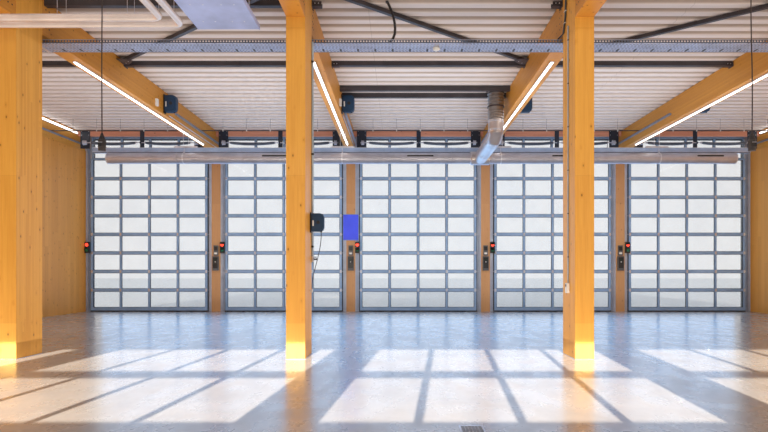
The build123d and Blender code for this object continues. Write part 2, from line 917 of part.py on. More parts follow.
def hose_reel(face_x, y, z, height):
    """A hose reel on the right-hand side of a timber: a wall bracket and a round-nosed housing."""
    scale = height / reel_height
    reach, width, bracket = reel_reach * scale, reel_width * scale, reel_bracket * scale
    plane = Plane(origin=(face_x, y + width / 2, z), x_dir=(1, 0, 0), z_dir=(0, -1, 0))
    housing = extrude(plane * reel_outline(reach, bracket, height / 2), amount=width)
    plate = block(face_x, face_x + bracket, y - width / 3, y + width / 3, z - 0.55 * height, z + 0.55 * height)
    outlet_x = face_x + reach - reel_outlet_before_nose * scale
    half = reel_outlet_width / 2
    outlet = block(outlet_x - half, outlet_x + half, y - half, y + half, z - height / 2 - reel_outlet_drop,
                   z - height / 4)
    return housing + plate + outlet


def hose_reels():
    """The reels on the inner beams and the one on the third column."""
    z = beam_bottom + reel_above_beam_foot
    reels = [hose_reel(x + half_timber, reel_offset, z, reel_height) for x in inner_grid_lines]
    reels.append(hose_reel(third_line + half_timber, column_reel_offset, column_reel_middle, column_reel_height))
    return reels


def tube_along(points, radius, sides):
    """A free hose's tube: straight runs, joined by the largest arcs that they allow."""
    places = [Vector(*point) for point in points]
    runs = [end - start for start, end in zip(places, places[1:])]
    radii = [
        arc_share_of_run * min(before.length, after.length) / math.tan(math.radians(before.get_angle(after) / 2))
        for before, after in zip(runs, runs[1:])
    ]
    print("radii of the hose's arcs:", [round(bend) for bend in radii])
    section = Plane(origin=places[0], z_dir=runs[0]) * RegularPolygon(radius, sides)
    return sweep(section, path=FilletPolyline(*points, radius=radii))


def reel_hose():
    """The hose that hangs from the column's reel, back to its clip on the column."""
    face = third_line + half_timber
    scale = column_reel_height / reel_height
    outlet_x = face + (reel_reach - reel_outlet_before_nose) * scale
    outlet = (outlet_x, column_reel_offset, column_reel_middle - column_reel_height / 2 - reel_outlet_drop)
    route = [(face + out, column_reel_offset + along, floor_top + up) for out, along, up in hose_points + [hose_foot]]
    return tube_along([outlet] + route, hose_radius, hose_sides)


def hose_clip():
    """The clip on the third column that takes the hose's end."""
    face = third_line + half_timber
    top = floor_top + hose_foot[2]
    half = hose_clip_width / 2
    return block(face, face + hose_clip_reach, column_reel_offset - half, column_reel_offset + half,
                 top - hose_clip_height, top)


def air_pipe():
    """The compressed-air pipe down the third column, with its tap."""
    x = third_line + half_timber + pipe_radius
    y = mid_column_depth / 2 - pipe_radius
    bottom = floor_top + air_pipe_bottom
    pipe = round_bar((x, y, bottom), (x, y, tray_level - stirrup_thickness), pipe_radius, pipe_sides)
    tap = Pos(x + pipe_radius, y, bottom + 2 * pipe_radius) * Box(4 * pipe_radius, 2 * pipe_radius, 3 * pipe_radius)
    return pipe + tap


def column_socket():
    """The conduit down the fourth column and the socket box at its foot."""
    face = fourth_line - half_timber
    z = floor_top + socket_level
    box = block(face - socket_depth, face, -socket_width / 2, socket_width / 2, z - socket_height / 2,
                z + socket_height / 2)
    x = face - conduit_radius
    return box + round_bar((x, 0, z), (x, 0, beam_bottom), conduit_radius, pipe_sides)


def notice_board():
    """The board on the third post of the back wall."""
    z = floor_top + board_level
    return block(third_line - board_width / 2, third_line + board_width / 2, post_inner - board_thickness, post_inner,
                 z - board_height / 2, z + board_height / 2)


def door_controls(x):
    """The control box and the handset box above it, on an inner post of the back wall."""
    z = floor_top + control_level
    base = z + control_height / 2 + control_gap
    return [
        block(x - control_width / 2, x + control_width / 2, post_inner - control_depth, post_inner,
              z - control_height / 2, z + control_height / 2),
        block(x - handset_width / 2, x + handset_width / 2, post_inner - control_depth / 2, post_inner,
              base, base + handset_height),
    ]


def door_signal():
    """The two-lamp signal on the left jamb of the middle bay's back door."""
    z = floor_top + signal_level
    return block(-clear_half_bay, -clear_half_bay + signal_width, post_inner - signal_depth, post_inner,
                 z - signal_height / 2, z + signal_height / 2)


def tray_detector():
    """The round detector under the cable tray in the middle bay."""
    x = bay_centres[bay_count // 2]
    y = tray_near + tray_width / 2
    return round_bar((x, y, tray_level - detector_height), (x, y, tray_level), detector_radius, detector_sides)


def pendant_rose(x):
    """The rose under the deck that a pendant cable comes out of."""
    return round_bar((x, pendant_y, beam_top - rose_height), (x, pendant_y, beam_top), rose_radius, connector_sides)


def pendant_cable(x):
    """A cable that hangs straight down to its connector."""
    foot = floor_top + connector_level + connector_length + grip_length
    return round_bar((x, pendant_y, foot), (x, pendant_y, beam_top - rose_height), pendant_radius, pipe_sides)


def pendant_connector(x):
    """The connector on a pendant cable: a wide body under a narrow grip."""
    foot = floor_top + connector_level
    body_top = foot + connector_length
    body = round_bar((x, pendant_y, foot), (x, pendant_y, body_top), connector_radius, connector_sides)
    return body + round_bar((x, pendant_y, body_top), (x, pendant_y, body_top + grip_length), grip_radius,
                            connector_sides)


def wall_sets():
    """The pieces of the back wall, node by node, which the front wall has too."""
    right_track = right_door_track()
    return {
        "wall_posts": [wall_post(x) for x in grid_lines],
        "piers": [pier(x) for x in grid_lines],
        "door_tracks": in_every_bay([mirror(right_track, Plane.YZ), right_track]),
        "transoms": in_every_bay([transom()]),
        "spring_shafts": in_every_bay([spring_shaft()]),
    }


def main():
    """Builds every node and writes its file."""
    os.makedirs("parts", exist_ok=True)
    write("floor_slab", floor_slab())
    write("drain_grates", in_every_bay([drain_grate()]))
    write("mid_columns", [mid_column(x) for x in grid_lines])
    write("back_beams", [beam(x, 1) for x in grid_lines])
    write("front_beams", [beam(x, -1) for x in grid_lines])
    for name, pieces in wall_sets().items():
        write(f"back_{name}", pieces)
        write(f"front_{name}", turned(pieces))
    write("back_door_leaves", in_every_bay(door_leaf(back_glazed_sections)))
    write("front_door_leaves", turned(in_every_bay(door_leaf(front_glazed_sections))))
    write("back_door_glazing", in_every_bay([leaf_glazing(back_glazed_sections)]))
    write("front_door_glazing", turned(in_every_bay([leaf_glazing(front_glazed_sections)])))
    for name, piece in (
        ("transom_glazing", transom_glazing()), ("spring_headers", spring_header()), ("wall_plates", wall_plate()),
    ):
        pieces = in_every_bay([piece])
        write(name, pieces + turned(pieces))
    write("fascias", [fascia()] + turned([fascia()]))
    write("roof_deck", roof_deck())
    write("roof_insulation", roof_insulation())
    write("roof_coping", coping())
    for side, word in ((-1, "left"), (1, "right")):
        write(f"{word}_end_wall", end_wall_panels(side))
        write(f"{word}_end_cladding", end_cladding(side))
    write("roof_bracing", roof_bracing())
    write("extract_duct", extract_duct())
    write("duct_sleeve", duct_sleeve())
    write("roof_outlet", [outlet_pipe(), roof_curb()])
    write("roof_cowl", roof_cowl())
    write("extract_rail", extract_rail())
    write("duct_hangers", [duct_hanger(x) for x in inner_grid_lines])
    write("cable_tray", cable_tray())
    write("tray_stirrups", [tray_stirrup(x) for x in inner_grid_lines])
    write("heating_pipes", [heating_pipe(index) for index in (0, 1)])
    write("radiant_panel", radiant_panel())
    write("heating_hangers", heating_hangers())
    write("cable_rails", in_every_bay([cable_rail()]))
    write("beam_lights", beam_lights(1) + beam_lights(-1))
    write("hose_reels", hose_reels())
    write("reel_hose", reel_hose())
    write("column_fittings", [air_pipe(), column_socket(), hose_clip()])
    controls = [box for x in inner_grid_lines for box in door_controls(x)]
    write("wall_fittings", [notice_board()] + controls + in_every_bay([door_signal()]) + [tray_detector()])
    write("pendant_roses", [pendant_rose(x) for x in pendant_places.values()])
    for word, x in pendant_places.items():
        write(f"{word}_pendant_cable", pendant_cable(x))
        write(f"{word}_pendant_connector", pendant_connector(x))


main()
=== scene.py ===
"""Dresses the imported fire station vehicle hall: its finishes, its fine pieces, the studio round it and the camera."""

import functools
import logging
import random
from dataclasses import dataclass
from enum import IntEnum
from itertools import product
from math import ceil, cos, floor, pi, radians, sin, sqrt, tau
from typing import Iterable, Sequence, Union

import bpy
from bpy.types import Material, NodeSocket as Socket, Object
from mathutils import Matrix, Vector


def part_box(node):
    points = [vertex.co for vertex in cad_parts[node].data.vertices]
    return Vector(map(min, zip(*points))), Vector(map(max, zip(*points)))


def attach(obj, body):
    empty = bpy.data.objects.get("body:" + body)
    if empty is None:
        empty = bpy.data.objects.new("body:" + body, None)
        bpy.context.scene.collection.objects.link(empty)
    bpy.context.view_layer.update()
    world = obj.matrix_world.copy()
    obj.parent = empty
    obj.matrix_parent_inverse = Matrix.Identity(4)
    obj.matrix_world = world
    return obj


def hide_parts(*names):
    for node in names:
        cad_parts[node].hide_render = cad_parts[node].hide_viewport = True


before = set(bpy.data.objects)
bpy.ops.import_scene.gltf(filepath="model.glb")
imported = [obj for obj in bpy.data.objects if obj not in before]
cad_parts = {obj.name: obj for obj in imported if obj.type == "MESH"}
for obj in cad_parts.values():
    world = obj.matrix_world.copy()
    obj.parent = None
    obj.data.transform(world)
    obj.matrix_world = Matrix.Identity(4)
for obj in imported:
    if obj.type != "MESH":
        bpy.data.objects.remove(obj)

log = logging.getLogger("vehicle_hall")

Point = tuple[float, float, float]
Flat = tuple[float, float]
Colour = tuple[float, float, float]
Row = Sequence[float]
Number = Union["Value", float]

BODY = "root"
HALF_TURN = Matrix.Rotation(pi, 4, "Z")
NOISE_RANGE = (0.3, 0.7)
SHARP_ANGLE = radians(32)
BEVEL_ANGLE = radians(40)


class Axis(IntEnum):
    """An axis of the frame."""

    X = 0
    Y = 1
    Z = 2


X, Y, Z = Axis


def on_axis(axis: Axis, along: float, first: float, second: float) -> list[float]:
    """A point by its place on an axis and on the two that follow it."""
    point = [0.0, 0.0, 0.0]
    point[axis], point[(axis + 1) % 3], point[(axis + 2) % 3] = along, first, second
    return point


def scaled(colour: Colour, factor: float) -> Colour:
    """A colour, darker or paler by a factor."""
    return tuple(part * factor for part in colour)


def middle_of(box: Sequence[Row]) -> list[float]:
    """The middle between two corners."""
    return [(low + high) / 2 for low, high in zip(*box)]


def shift(x: float = 0.0, y: float = 0.0, z: float = 0.0) -> Matrix:
    """A move."""
    return Matrix.Translation((x, y, z))


def new_object(name: str, data: bpy.types.ID) -> Object:
    """Puts data into the scene as a named object."""
    made = bpy.data.objects.new(name, data)
    bpy.context.scene.collection.objects.link(made)
    return made


# Shader maths


class Value:
    """A number socket of a material; arithmetic on it adds Math nodes."""

    def __init__(self, graph: "Graph", socket: Socket) -> None:
        """Keeps the socket and the graph that it belongs to."""
        self.graph = graph
        self.socket = socket

    def _math(self, operation: str, first: Number, second: Number = 0.0) -> "Value":
        """The result of a Math node with two inputs."""
        node = self.graph.node("ShaderNodeMath", {"operation": operation}, {0: first, 1: second})
        return Value(self.graph, node.outputs[0])

    def __add__(self, other: Number) -> "Value":
        """Sum."""
        return self._math("ADD", self, other)

    __radd__ = __add__

    def __sub__(self, other: Number) -> "Value":
        """Difference."""
        return self._math("SUBTRACT", self, other)

    def __rsub__(self, other: Number) -> "Value":
        """Difference from a number."""
        return self._math("SUBTRACT", other, self)

    def __mul__(self, other: Number) -> "Value":
        """Product."""
        return self._math("MULTIPLY", self, other)

    __rmul__ = __mul__

    def __truediv__(self, other: Number) -> "Value":
        """Quotient."""
        return self._math("DIVIDE", self, other)

    def floor(self) -> "Value":
        """The whole part below."""
        return self._math("FLOOR", self)

    def fraction(self) -> "Value":
        """What is left over the whole part."""
        return self._math("FRACT", self)

    def above(self, limit: Number) -> "Value":
        """1 where it is more than the limit."""
        return self._math("GREATER_THAN", self, limit)

    def turn(self, other: Number) -> "Value":
        """The angle of the point (other, self) about the origin, in radians."""
        return self._math("ARCTAN2", self, other)

    def spread(self, low: float, high: float, to_low: float = 0.0, to_high: float = 1.0) -> "Value":
        """Maps the range from low to high onto the one from to_low to to_high, clamped at both ends."""
        ends = {"Value": self, "From Min": low, "From Max": high, "To Min": to_low, "To Max": to_high}
        return Value(self.graph, self.graph.node("ShaderNodeMapRange", {"clamp": True}, ends).outputs[0])

    def even(self, to_low: float = 0.0, to_high: float = 1.0) -> "Value":
        """Maps the usual range of a noise onto another."""
        return self.spread(*NOISE_RANGE, to_low, to_high)

    def near_whole(self, width: float) -> "Value":
        """1 at a whole number, falling to 0 within width of it, as at the joints of boards counted by this value."""
        part = (self + 0.5).fraction()
        return part.spread(0.5 - width, 0.5) * part.spread(0.5, 0.5 + width, 1.0, 0.0)


class Graph:
    """The node tree of a material or of the world."""

    def __init__(self, owner: bpy.types.ID) -> None:
        """Empties the owner's tree.

        Args:
            owner: the material or the world.
        """
        self.owner = owner
        owner.use_nodes = True
        self.tree = owner.node_tree
        self.tree.nodes.clear()

    @functools.cached_property
    def place(self) -> Socket:
        """The place in the frame."""
        return self.node("ShaderNodeTexCoord").outputs["Object"]

    def node(self, kind: str, settings: dict | None = None, inputs: dict | None = None) -> bpy.types.Node:
        """Adds a node.

        Args:
            kind: the node's type.
            settings: its own settings, set first.
            inputs: what its sockets hold or are linked to, by name, identifier or place.

        Returns:
            The new node.
        """
        made = self.tree.nodes.new(kind)
        for key, value in (settings or {}).items():
            setattr(made, key, value)
        for key, value in (inputs or {}).items():
            socket = made.inputs[key] if isinstance(key, int) else next(
                s for s in made.inputs if key in (s.identifier, s.name) and s.enabled
            )
            source = value.socket if isinstance(value, Value) else value
            if isinstance(source, Socket):
                self.tree.links.new(source, socket)
            else:
                socket.default_value = source
        return made

    def axes(self) -> tuple[Value, Value, Value]:
        """The place in the frame, as three numbers in metres."""
        node = self.node("ShaderNodeSeparateXYZ", inputs={0: self.place})
        return tuple(Value(self, output) for output in node.outputs)

    def stretched(self, scale: Point) -> Socket:
        """The place, stretched along each axis."""
        return self.node("ShaderNodeVectorMath", {"operation": "MULTIPLY"}, {0: self.place, 1: scale}).outputs[0]

    def joined(self, x: Number, y: Number, z: Number = 0.0) -> Socket:
        """A vector of three numbers."""
        return self.node("ShaderNodeCombineXYZ", inputs={0: x, 1: y, 2: z}).outputs[0]

    def noise(self, scale: Point, detail: float = 3.0, roughness: float = 0.55) -> Value:
        """Noise about 0.5, as fine as the scale in each metre, with finer layers as strong as the roughness."""
        inputs = {"Vector": self.stretched(scale), "Scale": 1.0, "Detail": detail, "Roughness": roughness}
        return Value(self, self.node("ShaderNodeTexNoise", inputs=inputs).outputs[0])

    def cells(self, scale: Point) -> tuple[Value, Value]:
        """Random cells over the place.

        Args:
            scale: how many there are in a metre along each axis.

        Returns:
            The distance from the nearest cell's middle, and a random number for each cell.
        """
        node = self.node("ShaderNodeTexVoronoi", inputs={"Vector": self.stretched(scale), "Scale": 1.0})
        parts = self.node("ShaderNodeSeparateXYZ", inputs={0: node.outputs["Color"]})
        return Value(self, node.outputs["Distance"]), Value(self, parts.outputs[0])

    def random_of(self, x: Number, y: Number = 0.0, z: Number = 0.0) -> Value:
        """A random number from 0 to 1 that depends on three whole numbers."""
        node = self.node("ShaderNodeTexWhiteNoise", {"noise_dimensions": "3D"}, {0: self.joined(x, y, z)})
        return Value(self, node.outputs[0])

    def blend(self, factor: Number, first: Colour, second: Colour) -> Socket:
        """A mix of two colours.

        Args:
            factor: the second one's share.
            first: the first colour, as numbers or as a socket.
            second: the second colour.

        Returns:
            The mixed colour.
        """
        first, second = (c if isinstance(c, Socket) else (*c, 1.0) for c in (first, second))
        inputs = {"Factor_Float": factor, "A_Color": first, "B_Color": second}
        node = self.node("ShaderNodeMix", {"data_type": "RGBA"}, inputs)
        return next(s for s in node.outputs if s.identifier == "Result_Color")

    def bump(self, height: Value, depth: float) -> Socket:
        """A surface normal pushed about by a height, whose range from 0 to 1 is a depth in metres."""
        return self.node("ShaderNodeBump", inputs={"Height": height, "Distance": depth, "Strength": 1.0}).outputs[0]

    def surface(self, **inputs) -> Material:
        """Ends the tree with a principled surface.

        Args:
            inputs: its sockets, with spaces written as underscores; colours may be plain.

        Returns:
            The material.
        """
        named = {}
        for key, value in inputs.items():
            is_colour = isinstance(value, tuple) and len(value) == 3
            named[key.replace("_", " ")] = (*value, 1.0) if is_colour else value
        shader = self.node("ShaderNodeBsdfPrincipled", inputs=named)
        self.node("ShaderNodeOutputMaterial", inputs={"Surface": shader.outputs[0]})
        return self.owner


# Finishes


@dataclass(frozen=True)
class Finish:
    """A surface finish. The ones below paint it."""

    name: str

    def paint(self, graph: Graph) -> Material:
        """Builds the material in its empty graph."""
        raise NotImplementedError

    @functools.cache
    def material(self) -> Material:
        """The finish's material, made once."""
        return self.paint(Graph(bpy.data.materials.new(self.name)))


@dataclass(frozen=True)
class Coating(Finish):
    """Paint, powder coating, plastic or rubber: nearly one colour, with faint clouds, dust and orange peel."""

    colour: Colour
    roughness: float = 0.45
    clouds: float = 0.12
    peel: float = 0.0003
    peel_scale: float = 90.0
    metallic: float = 0.0

    def paint(self, graph: Graph) -> Material:
        """Paints it."""
        cloud = graph.noise((2.3, 2.3, 2.3))
        fine = graph.noise((self.peel_scale,) * 3, 2.0)
        shade = tuple(c * (1.0 - 2.0 * self.clouds) for c in self.colour)
        lift = tuple(min(1.0, c * (1.0 + self.clouds) + 0.01) for c in self.colour)
        return graph.surface(
            Base_Color=graph.blend(cloud.even(), shade, lift),
            Roughness=cloud.even(self.roughness + 0.06, self.roughness - 0.04) + fine * 0.04,
            Metallic=self.metallic,
            Normal=graph.bump(fine, self.peel),
        )


@dataclass(frozen=True)
class GluedTimber(Finish):
    """Glued spruce with a clear varnish: lamellas, each of boards of their own tone, with grain and knots."""

    grain: Axis
    stack: Axis
    light: Colour = (0.90, 0.48, 0.085)
    dark: Colour = (0.66, 0.285, 0.036)
    knot: Colour = (0.13, 0.04, 0.010)
    lamella: float = 0.04
    board: float = 2.3
    varnish: float = 0.12
    knots_along: float = 4.2
    knot_chance: float = 0.5
    streaks: float = 1.0

    def paint(self, graph: Graph) -> Material:
        """Paints it."""
        axes = graph.axes()
        across = next(axis for axis in Axis if axis not in (self.grain, self.stack))
        layer = axes[self.stack] / self.lamella + 0.37
        layer_number = layer.floor()
        stagger = graph.random_of(layer_number, 3.0)
        board = axes[self.grain] / self.board + stagger * 5.0
        tone = graph.random_of(layer_number, board.floor(), 7.0)
        scale = {self.grain: 1.6, self.stack: 42.0, across: 42.0}
        fibres = graph.noise(tuple(scale[axis] for axis in Axis), 5.0, 0.62)
        slow = graph.noise(tuple(scale[axis] * 0.16 for axis in Axis), 2.0)
        spacing = {self.grain: self.knots_along, self.stack: 8.5, across: 8.5}
        distance, chance = graph.cells(tuple(spacing[axis] for axis in Axis))
        present = chance.above(self.knot_chance)
        knots = distance.spread(0.045, 0.11, 1.0, 0.0) * present
        halo = distance.spread(0.07, 0.28, 1.0, 0.0) * present
        glue = layer.near_whole(0.035)
        finger = board.near_whole(0.0012)
        mixed = (tone * 0.42 + fibres.even() * 0.34) * self.streaks + slow.even() * 0.16
        mixed = mixed + halo * 0.3 + (1.0 - self.streaks) * 0.4
        wood = graph.blend(mixed, self.light, self.dark)
        marked = graph.blend(knots * 0.85 + glue * 0.22 + finger * 0.25, wood, self.knot)
        return graph.surface(
            Base_Color=marked,
            Roughness=fibres.even(0.56, 0.44),
            Specular_IOR_Level=0.28,
            Coat_Weight=self.varnish,
            Coat_Roughness=0.28,
            Normal=graph.bump(fibres * 0.35 - glue * 0.8 - knots * 0.3, 0.0012),
        )


@dataclass(frozen=True)
class DeckSheet(Finish):
    """Coated trapezoidal sheet: off-white, with painted shade darkening it up the webs into its valleys, side laps and
    faint streaks.
    """

    colour: Colour = (0.86, 0.79, 0.76)
    # The valley colour is painted shade for the ribs' recesses.
    valley_shade: Colour = (0.53, 0.45, 0.40)
    foot: float = 6.03
    shade_start: float = 0.004
    shade_end: float = 0.03
    sheet_width: float = 0.93

    def paint(self, graph: Graph) -> Material:
        """Paints it."""
        x, y, z = graph.axes()
        streak = graph.noise((0.7, 9.0, 4.0), 3.0)
        cloud = graph.noise((0.9, 0.9, 0.9), 2.0)
        lap = (y / self.sheet_width + 0.07).near_whole(0.004)
        end_lap = (x / (self.sheet_width * 6.0) + 0.21).near_whole(0.0012)
        tone = streak.even() * 0.6 + cloud.even() * 0.4
        coated = graph.blend(tone, scaled(self.colour, 0.88), self.colour)
        # Painted shade: darker from the foot of the webs up into the valleys, where the ribs shade each other.
        valley_shade = z.spread(self.foot + self.shade_start, self.foot + self.shade_end)
        valley_shaded = graph.blend(valley_shade, coated, self.valley_shade)
        return graph.surface(
            Base_Color=graph.blend(lap * 0.5 + end_lap * 0.5, valley_shaded, (0.28, 0.25, 0.23)),
            Roughness=streak.even(0.55, 0.4),
            Normal=graph.bump(streak * 0.5 - lap, 0.0012),
        )


@dataclass(frozen=True)
class PolishedConcrete(Finish):
    """A ground and sealed concrete floor: grey clouds, grit and saw cuts, with painted shade that makes it near black
    outside the doors and end walls, against the strong sun lamp that lights only the floor.
    """

    light: Colour = (0.38, 0.37, 0.37)
    dark: Colour = (0.26, 0.255, 0.26)
    # Painted shade for the slab outside the walls.
    edge: Colour = (0.03, 0.031, 0.034)
    inside: Flat = (11.37, 9.70)
    joint_spacing: float = 4.5

    def paint(self, graph: Graph) -> Material:
        """Paints it."""
        x, y, _ = graph.axes()
        # Painted shade: near black beyond the walls, offsetting the floor's own strong sun lamp.
        outside = (x * x).above(self.inside[0]**2) + (y * y).above(self.inside[1]**2)
        cloud = graph.noise((0.55, 0.8, 0.8), 5.0, 0.6)
        stain = graph.noise((2.6, 2.0, 2.0), 4.0, 0.62)
        grit = graph.noise((140.0, 140.0, 140.0), 2.0)
        scuff = graph.noise((5.0, 1.6, 1.0), 3.0)
        saw = (x / self.joint_spacing + 0.5).near_whole(0.0007) + (y / self.joint_spacing + 0.25).near_whole(0.0007)
        tone = cloud.spread(0.32, 0.7) * 0.55 + stain.even() * 0.3 + grit.even() * 0.15
        ground = graph.blend(saw * 0.7, graph.blend(tone, self.dark, self.light), (0.1, 0.1, 0.11))
        return graph.surface(
            Base_Color=graph.blend(outside, ground, self.edge),
            Roughness=stain.even(0.34, 0.2) + scuff.spread(0.45, 0.75) * 0.08 + saw * 0.3,
            Specular_IOR_Level=0.8,
            Coat_Weight=0.5,
            Coat_Roughness=0.17,
            Normal=graph.bump(stain * 0.7 + cloud * 0.3 - saw, 0.00012),
        )


@dataclass(frozen=True)
class Galvanised(Finish):
    """Zinc-coated sheet: bright metal with spangle, dull patches and, on round ducts, a spiral seam."""

    colour: Colour = (0.84, 0.87, 0.95)
    roughness: float = 0.3
    metallic: float = 0.8
    wave: float = 0.0008
    seam_pitch: float = 0.0
    axis_offset: Flat = (0.0, 0.0)

    def paint(self, graph: Graph) -> Material:
        """Paints it."""
        x, y, z = graph.axes()
        _, spangle = graph.cells((45.0, 45.0, 45.0))
        cloud = graph.noise((3.0, 3.0, 3.0), 4.0)
        height = cloud * 0.5
        if self.seam_pitch:
            angle = (z - self.axis_offset[1]).turn(y - self.axis_offset[0]) / tau
            height = height + (x / self.seam_pitch + angle).near_whole(0.09)
        tone = spangle * 0.1 + cloud.even() * 0.9
        shade = scaled(self.colour, 0.8)
        return graph.surface(
            Base_Color=graph.blend(tone, shade, self.colour),
            Metallic=self.metallic,
            Roughness=cloud.even(self.roughness + 0.08, self.roughness - 0.04) + spangle * 0.02,
            Normal=graph.bump(height, self.wave),
        )


@dataclass(frozen=True)
class ClearGlass(Finish):
    """Thin clear sheet that light passes straight through, or one with a dark film on the front side."""

    tint: Colour = (0.56, 0.74, 0.92)
    cover: float = 0.17
    film: Colour = (0.04, 0.05, 0.06)
    film_cover: float = 0.0

    def paint(self, graph: Graph) -> Material:
        """Paints it."""
        smear = graph.noise((1.1, 1.1, 1.1), 3.0)
        _, y, _ = graph.axes()
        filmed = (0.0 - y).above(0.0) * self.film_cover
        clear = graph.blend(smear.even(), scaled(self.tint, 0.85), self.tint)
        return graph.surface(
            Base_Color=graph.blend(filmed, clear, self.film),
            Alpha=smear.even(self.cover * 0.85, self.cover * 1.15) + filmed * (1.0 - self.cover * 1.15),
            Roughness=smear.even(0.02, 0.05),
            Specular_IOR_Level=0.9,
        )


@dataclass(frozen=True)
class Glow(Finish):
    """A lit diffuser or lamp."""

    colour: Colour
    strength: float

    def paint(self, graph: Graph) -> Material:
        """Paints it."""
        ripple = graph.noise((6.0, 6.0, 6.0), 2.0)
        return graph.surface(
            Base_Color=graph.blend(ripple.even(), scaled(self.colour, 0.8), self.colour),
            Roughness=ripple.even(0.35, 0.45),
            Emission_Color=graph.blend(ripple.even(), scaled(self.colour, 0.94), self.colour),
            Emission_Strength=self.strength,
        )


@dataclass(frozen=True)
class Boards(Finish):
    """Stained timber boards, each of its own tone."""

    grain: Axis
    across: Axis
    width: float
    light: Colour
    dark: Colour

    def paint(self, graph: Graph) -> Material:
        """Paints it."""
        axes = graph.axes()
        number = (axes[self.across] / self.width).floor()
        tone = graph.random_of(number, 11.0)
        scale = tuple(1.3 if axis == self.grain else 38.0 for axis in Axis)
        fibres = graph.noise(scale, 5.0, 0.62)
        weather = graph.noise((0.8, 0.8, 0.5), 3.0)
        distance, chance = graph.cells(tuple(2.6 if axis == self.grain else 9.0 for axis in Axis))
        knots = distance.spread(0.05, 0.14, 1.0, 0.0) * chance.above(0.7)
        mixed = tone * 0.45 + fibres.even() * 0.4 + weather.even() * 0.25
        wood = graph.blend(mixed, self.light, self.dark)
        return graph.surface(
            Base_Color=graph.blend(knots * 0.7, wood, scaled(self.dark, 0.3)),
            Roughness=fibres.even(0.72, 0.55),
            Normal=graph.bump(fibres - knots * 0.4, 0.001),
        )


@dataclass(frozen=True)
class RoofSheet(Finish):
    """Grey roofing sheet with welded seams, dust and dried puddles."""

    colour: Colour = (0.20, 0.205, 0.21)
    width: float = 1.05

    def paint(self, graph: Graph) -> Material:
        """Paints it."""
        _, y, _ = graph.axes()
        puddle = graph.noise((0.35, 0.35, 0.35), 5.0, 0.6)
        dust = graph.noise((6.0, 6.0, 6.0), 4.0)
        seam = (y / self.width).near_whole(0.02)
        tone = puddle.spread(0.42, 0.62) * 0.5 + dust.even() * 0.3
        sheet = graph.blend(tone, scaled(self.colour, 0.8), scaled(self.colour, 1.5))
        return graph.surface(
            Base_Color=graph.blend(seam * 0.4, sheet, scaled(self.colour, 0.5)),
            Roughness=puddle.spread(0.42, 0.62, 0.72, 0.5),
            Normal=graph.bump(dust * 0.3 + seam, 0.003),
        )


FLOOR = PolishedConcrete("polished_concrete")
COLUMN_WOOD = GluedTimber("column_timber", Z, Y)
BEAM_WOOD = GluedTimber("beam_timber", Y, Z, light=(0.78, 0.37, 0.062), dark=(0.53, 0.21, 0.03),
                        knots_along=6.5, knot_chance=0.2, streaks=0.5)
WALL_WOOD = GluedTimber("wall_element_timber", Z, Y, light=(0.80, 0.36, 0.07), dark=(0.60, 0.24, 0.04),
                        lamella=0.16, board=5.7, varnish=0.0)
HEADER_WOOD = GluedTimber("header_timber", X, Z, light=(0.84, 0.40, 0.27), dark=(0.62, 0.26, 0.17),
                          varnish=0.05)
POST_WOOD = GluedTimber("post_timber", Z, Y, light=(0.66, 0.37, 0.17), dark=(0.48, 0.24, 0.10),
                        varnish=0.05)
DECK = DeckSheet("deck_sheet_coating")
ROOFING = RoofSheet("roofing_sheet")
DUCT = Galvanised("duct_sheet", (0.64, 0.65, 0.74), 0.38, 0.85, wave=0.0001, seam_pitch=0.13,
                  axis_offset=(6.85, 4.665))
BRANCH_ZINC = Galvanised("branch_sheet", (0.90, 0.87, 0.88), 0.3, 0.97, wave=0.00005)
# The tray's blue tint is a painted reflection of the sky on the zinc.
TRAY_ZINC = Galvanised("tray_sheet_with_painted_sky_blue", (0.55, 0.60, 0.76), 0.42, 0.5)
ZINC = Galvanised("zinc_sheet")
DULL_ZINC = Galvanised("dull_zinc_sheet", (0.78, 0.80, 0.88), 0.42, 0.6)
# The rail's blue is a painted reflection of the sky on grey aluminium.
RAIL_METAL = Galvanised("rail_aluminium_with_painted_sky_blue", (0.40, 0.54, 0.80), 0.33, 0.6)
TRACK_METAL = Galvanised("track_steel", (0.58, 0.66, 0.80), 0.38, 0.6)
GLASS = ClearGlass("clear_sheet")
TRANSOM_GLASS = ClearGlass("transom_sheet", film_cover=0.95)
# Blue-grey frame paint, made lighter and bluer as painted sky light on the frames.
FRAME_COAT = Coating("door_frame_coating_with_painted_sky_light", (0.26, 0.40, 0.62), 0.34, clouds=0.06)
PANEL_COAT = Coating("door_panel_coating", (0.085, 0.115, 0.15), 0.4, clouds=0.04, peel=0.0008, peel_scale=55.0)
CLADDING_COAT = Coating("cladding_coating", (0.055, 0.06, 0.066), 0.42, clouds=0.04)
STEEL_COAT = Coating("bracing_coating", (0.045, 0.038, 0.042), 0.38)
GEAR_COAT = Coating("gear_plate_coating", (0.020, 0.030, 0.052), 0.4, clouds=0.05)
SPRING_STEEL = Coating("spring_steel", (0.13, 0.16, 0.22), 0.34, metallic=0.4)
GASKET = Coating("black_gasket", (0.012, 0.012, 0.013), 0.62)
BLACK_PLASTIC = Coating("black_plastic", (0.018, 0.018, 0.02), 0.4)
GREY_PLASTIC = Coating("grey_plastic", (0.10, 0.105, 0.11), 0.42)
WHITE_PLASTIC = Coating("white_plastic", (0.78, 0.78, 0.75), 0.4)
PIPE_JACKET = Galvanised("pipe_jacket", (1.0, 0.91, 0.86), 0.15, 0.4, wave=0.0006)
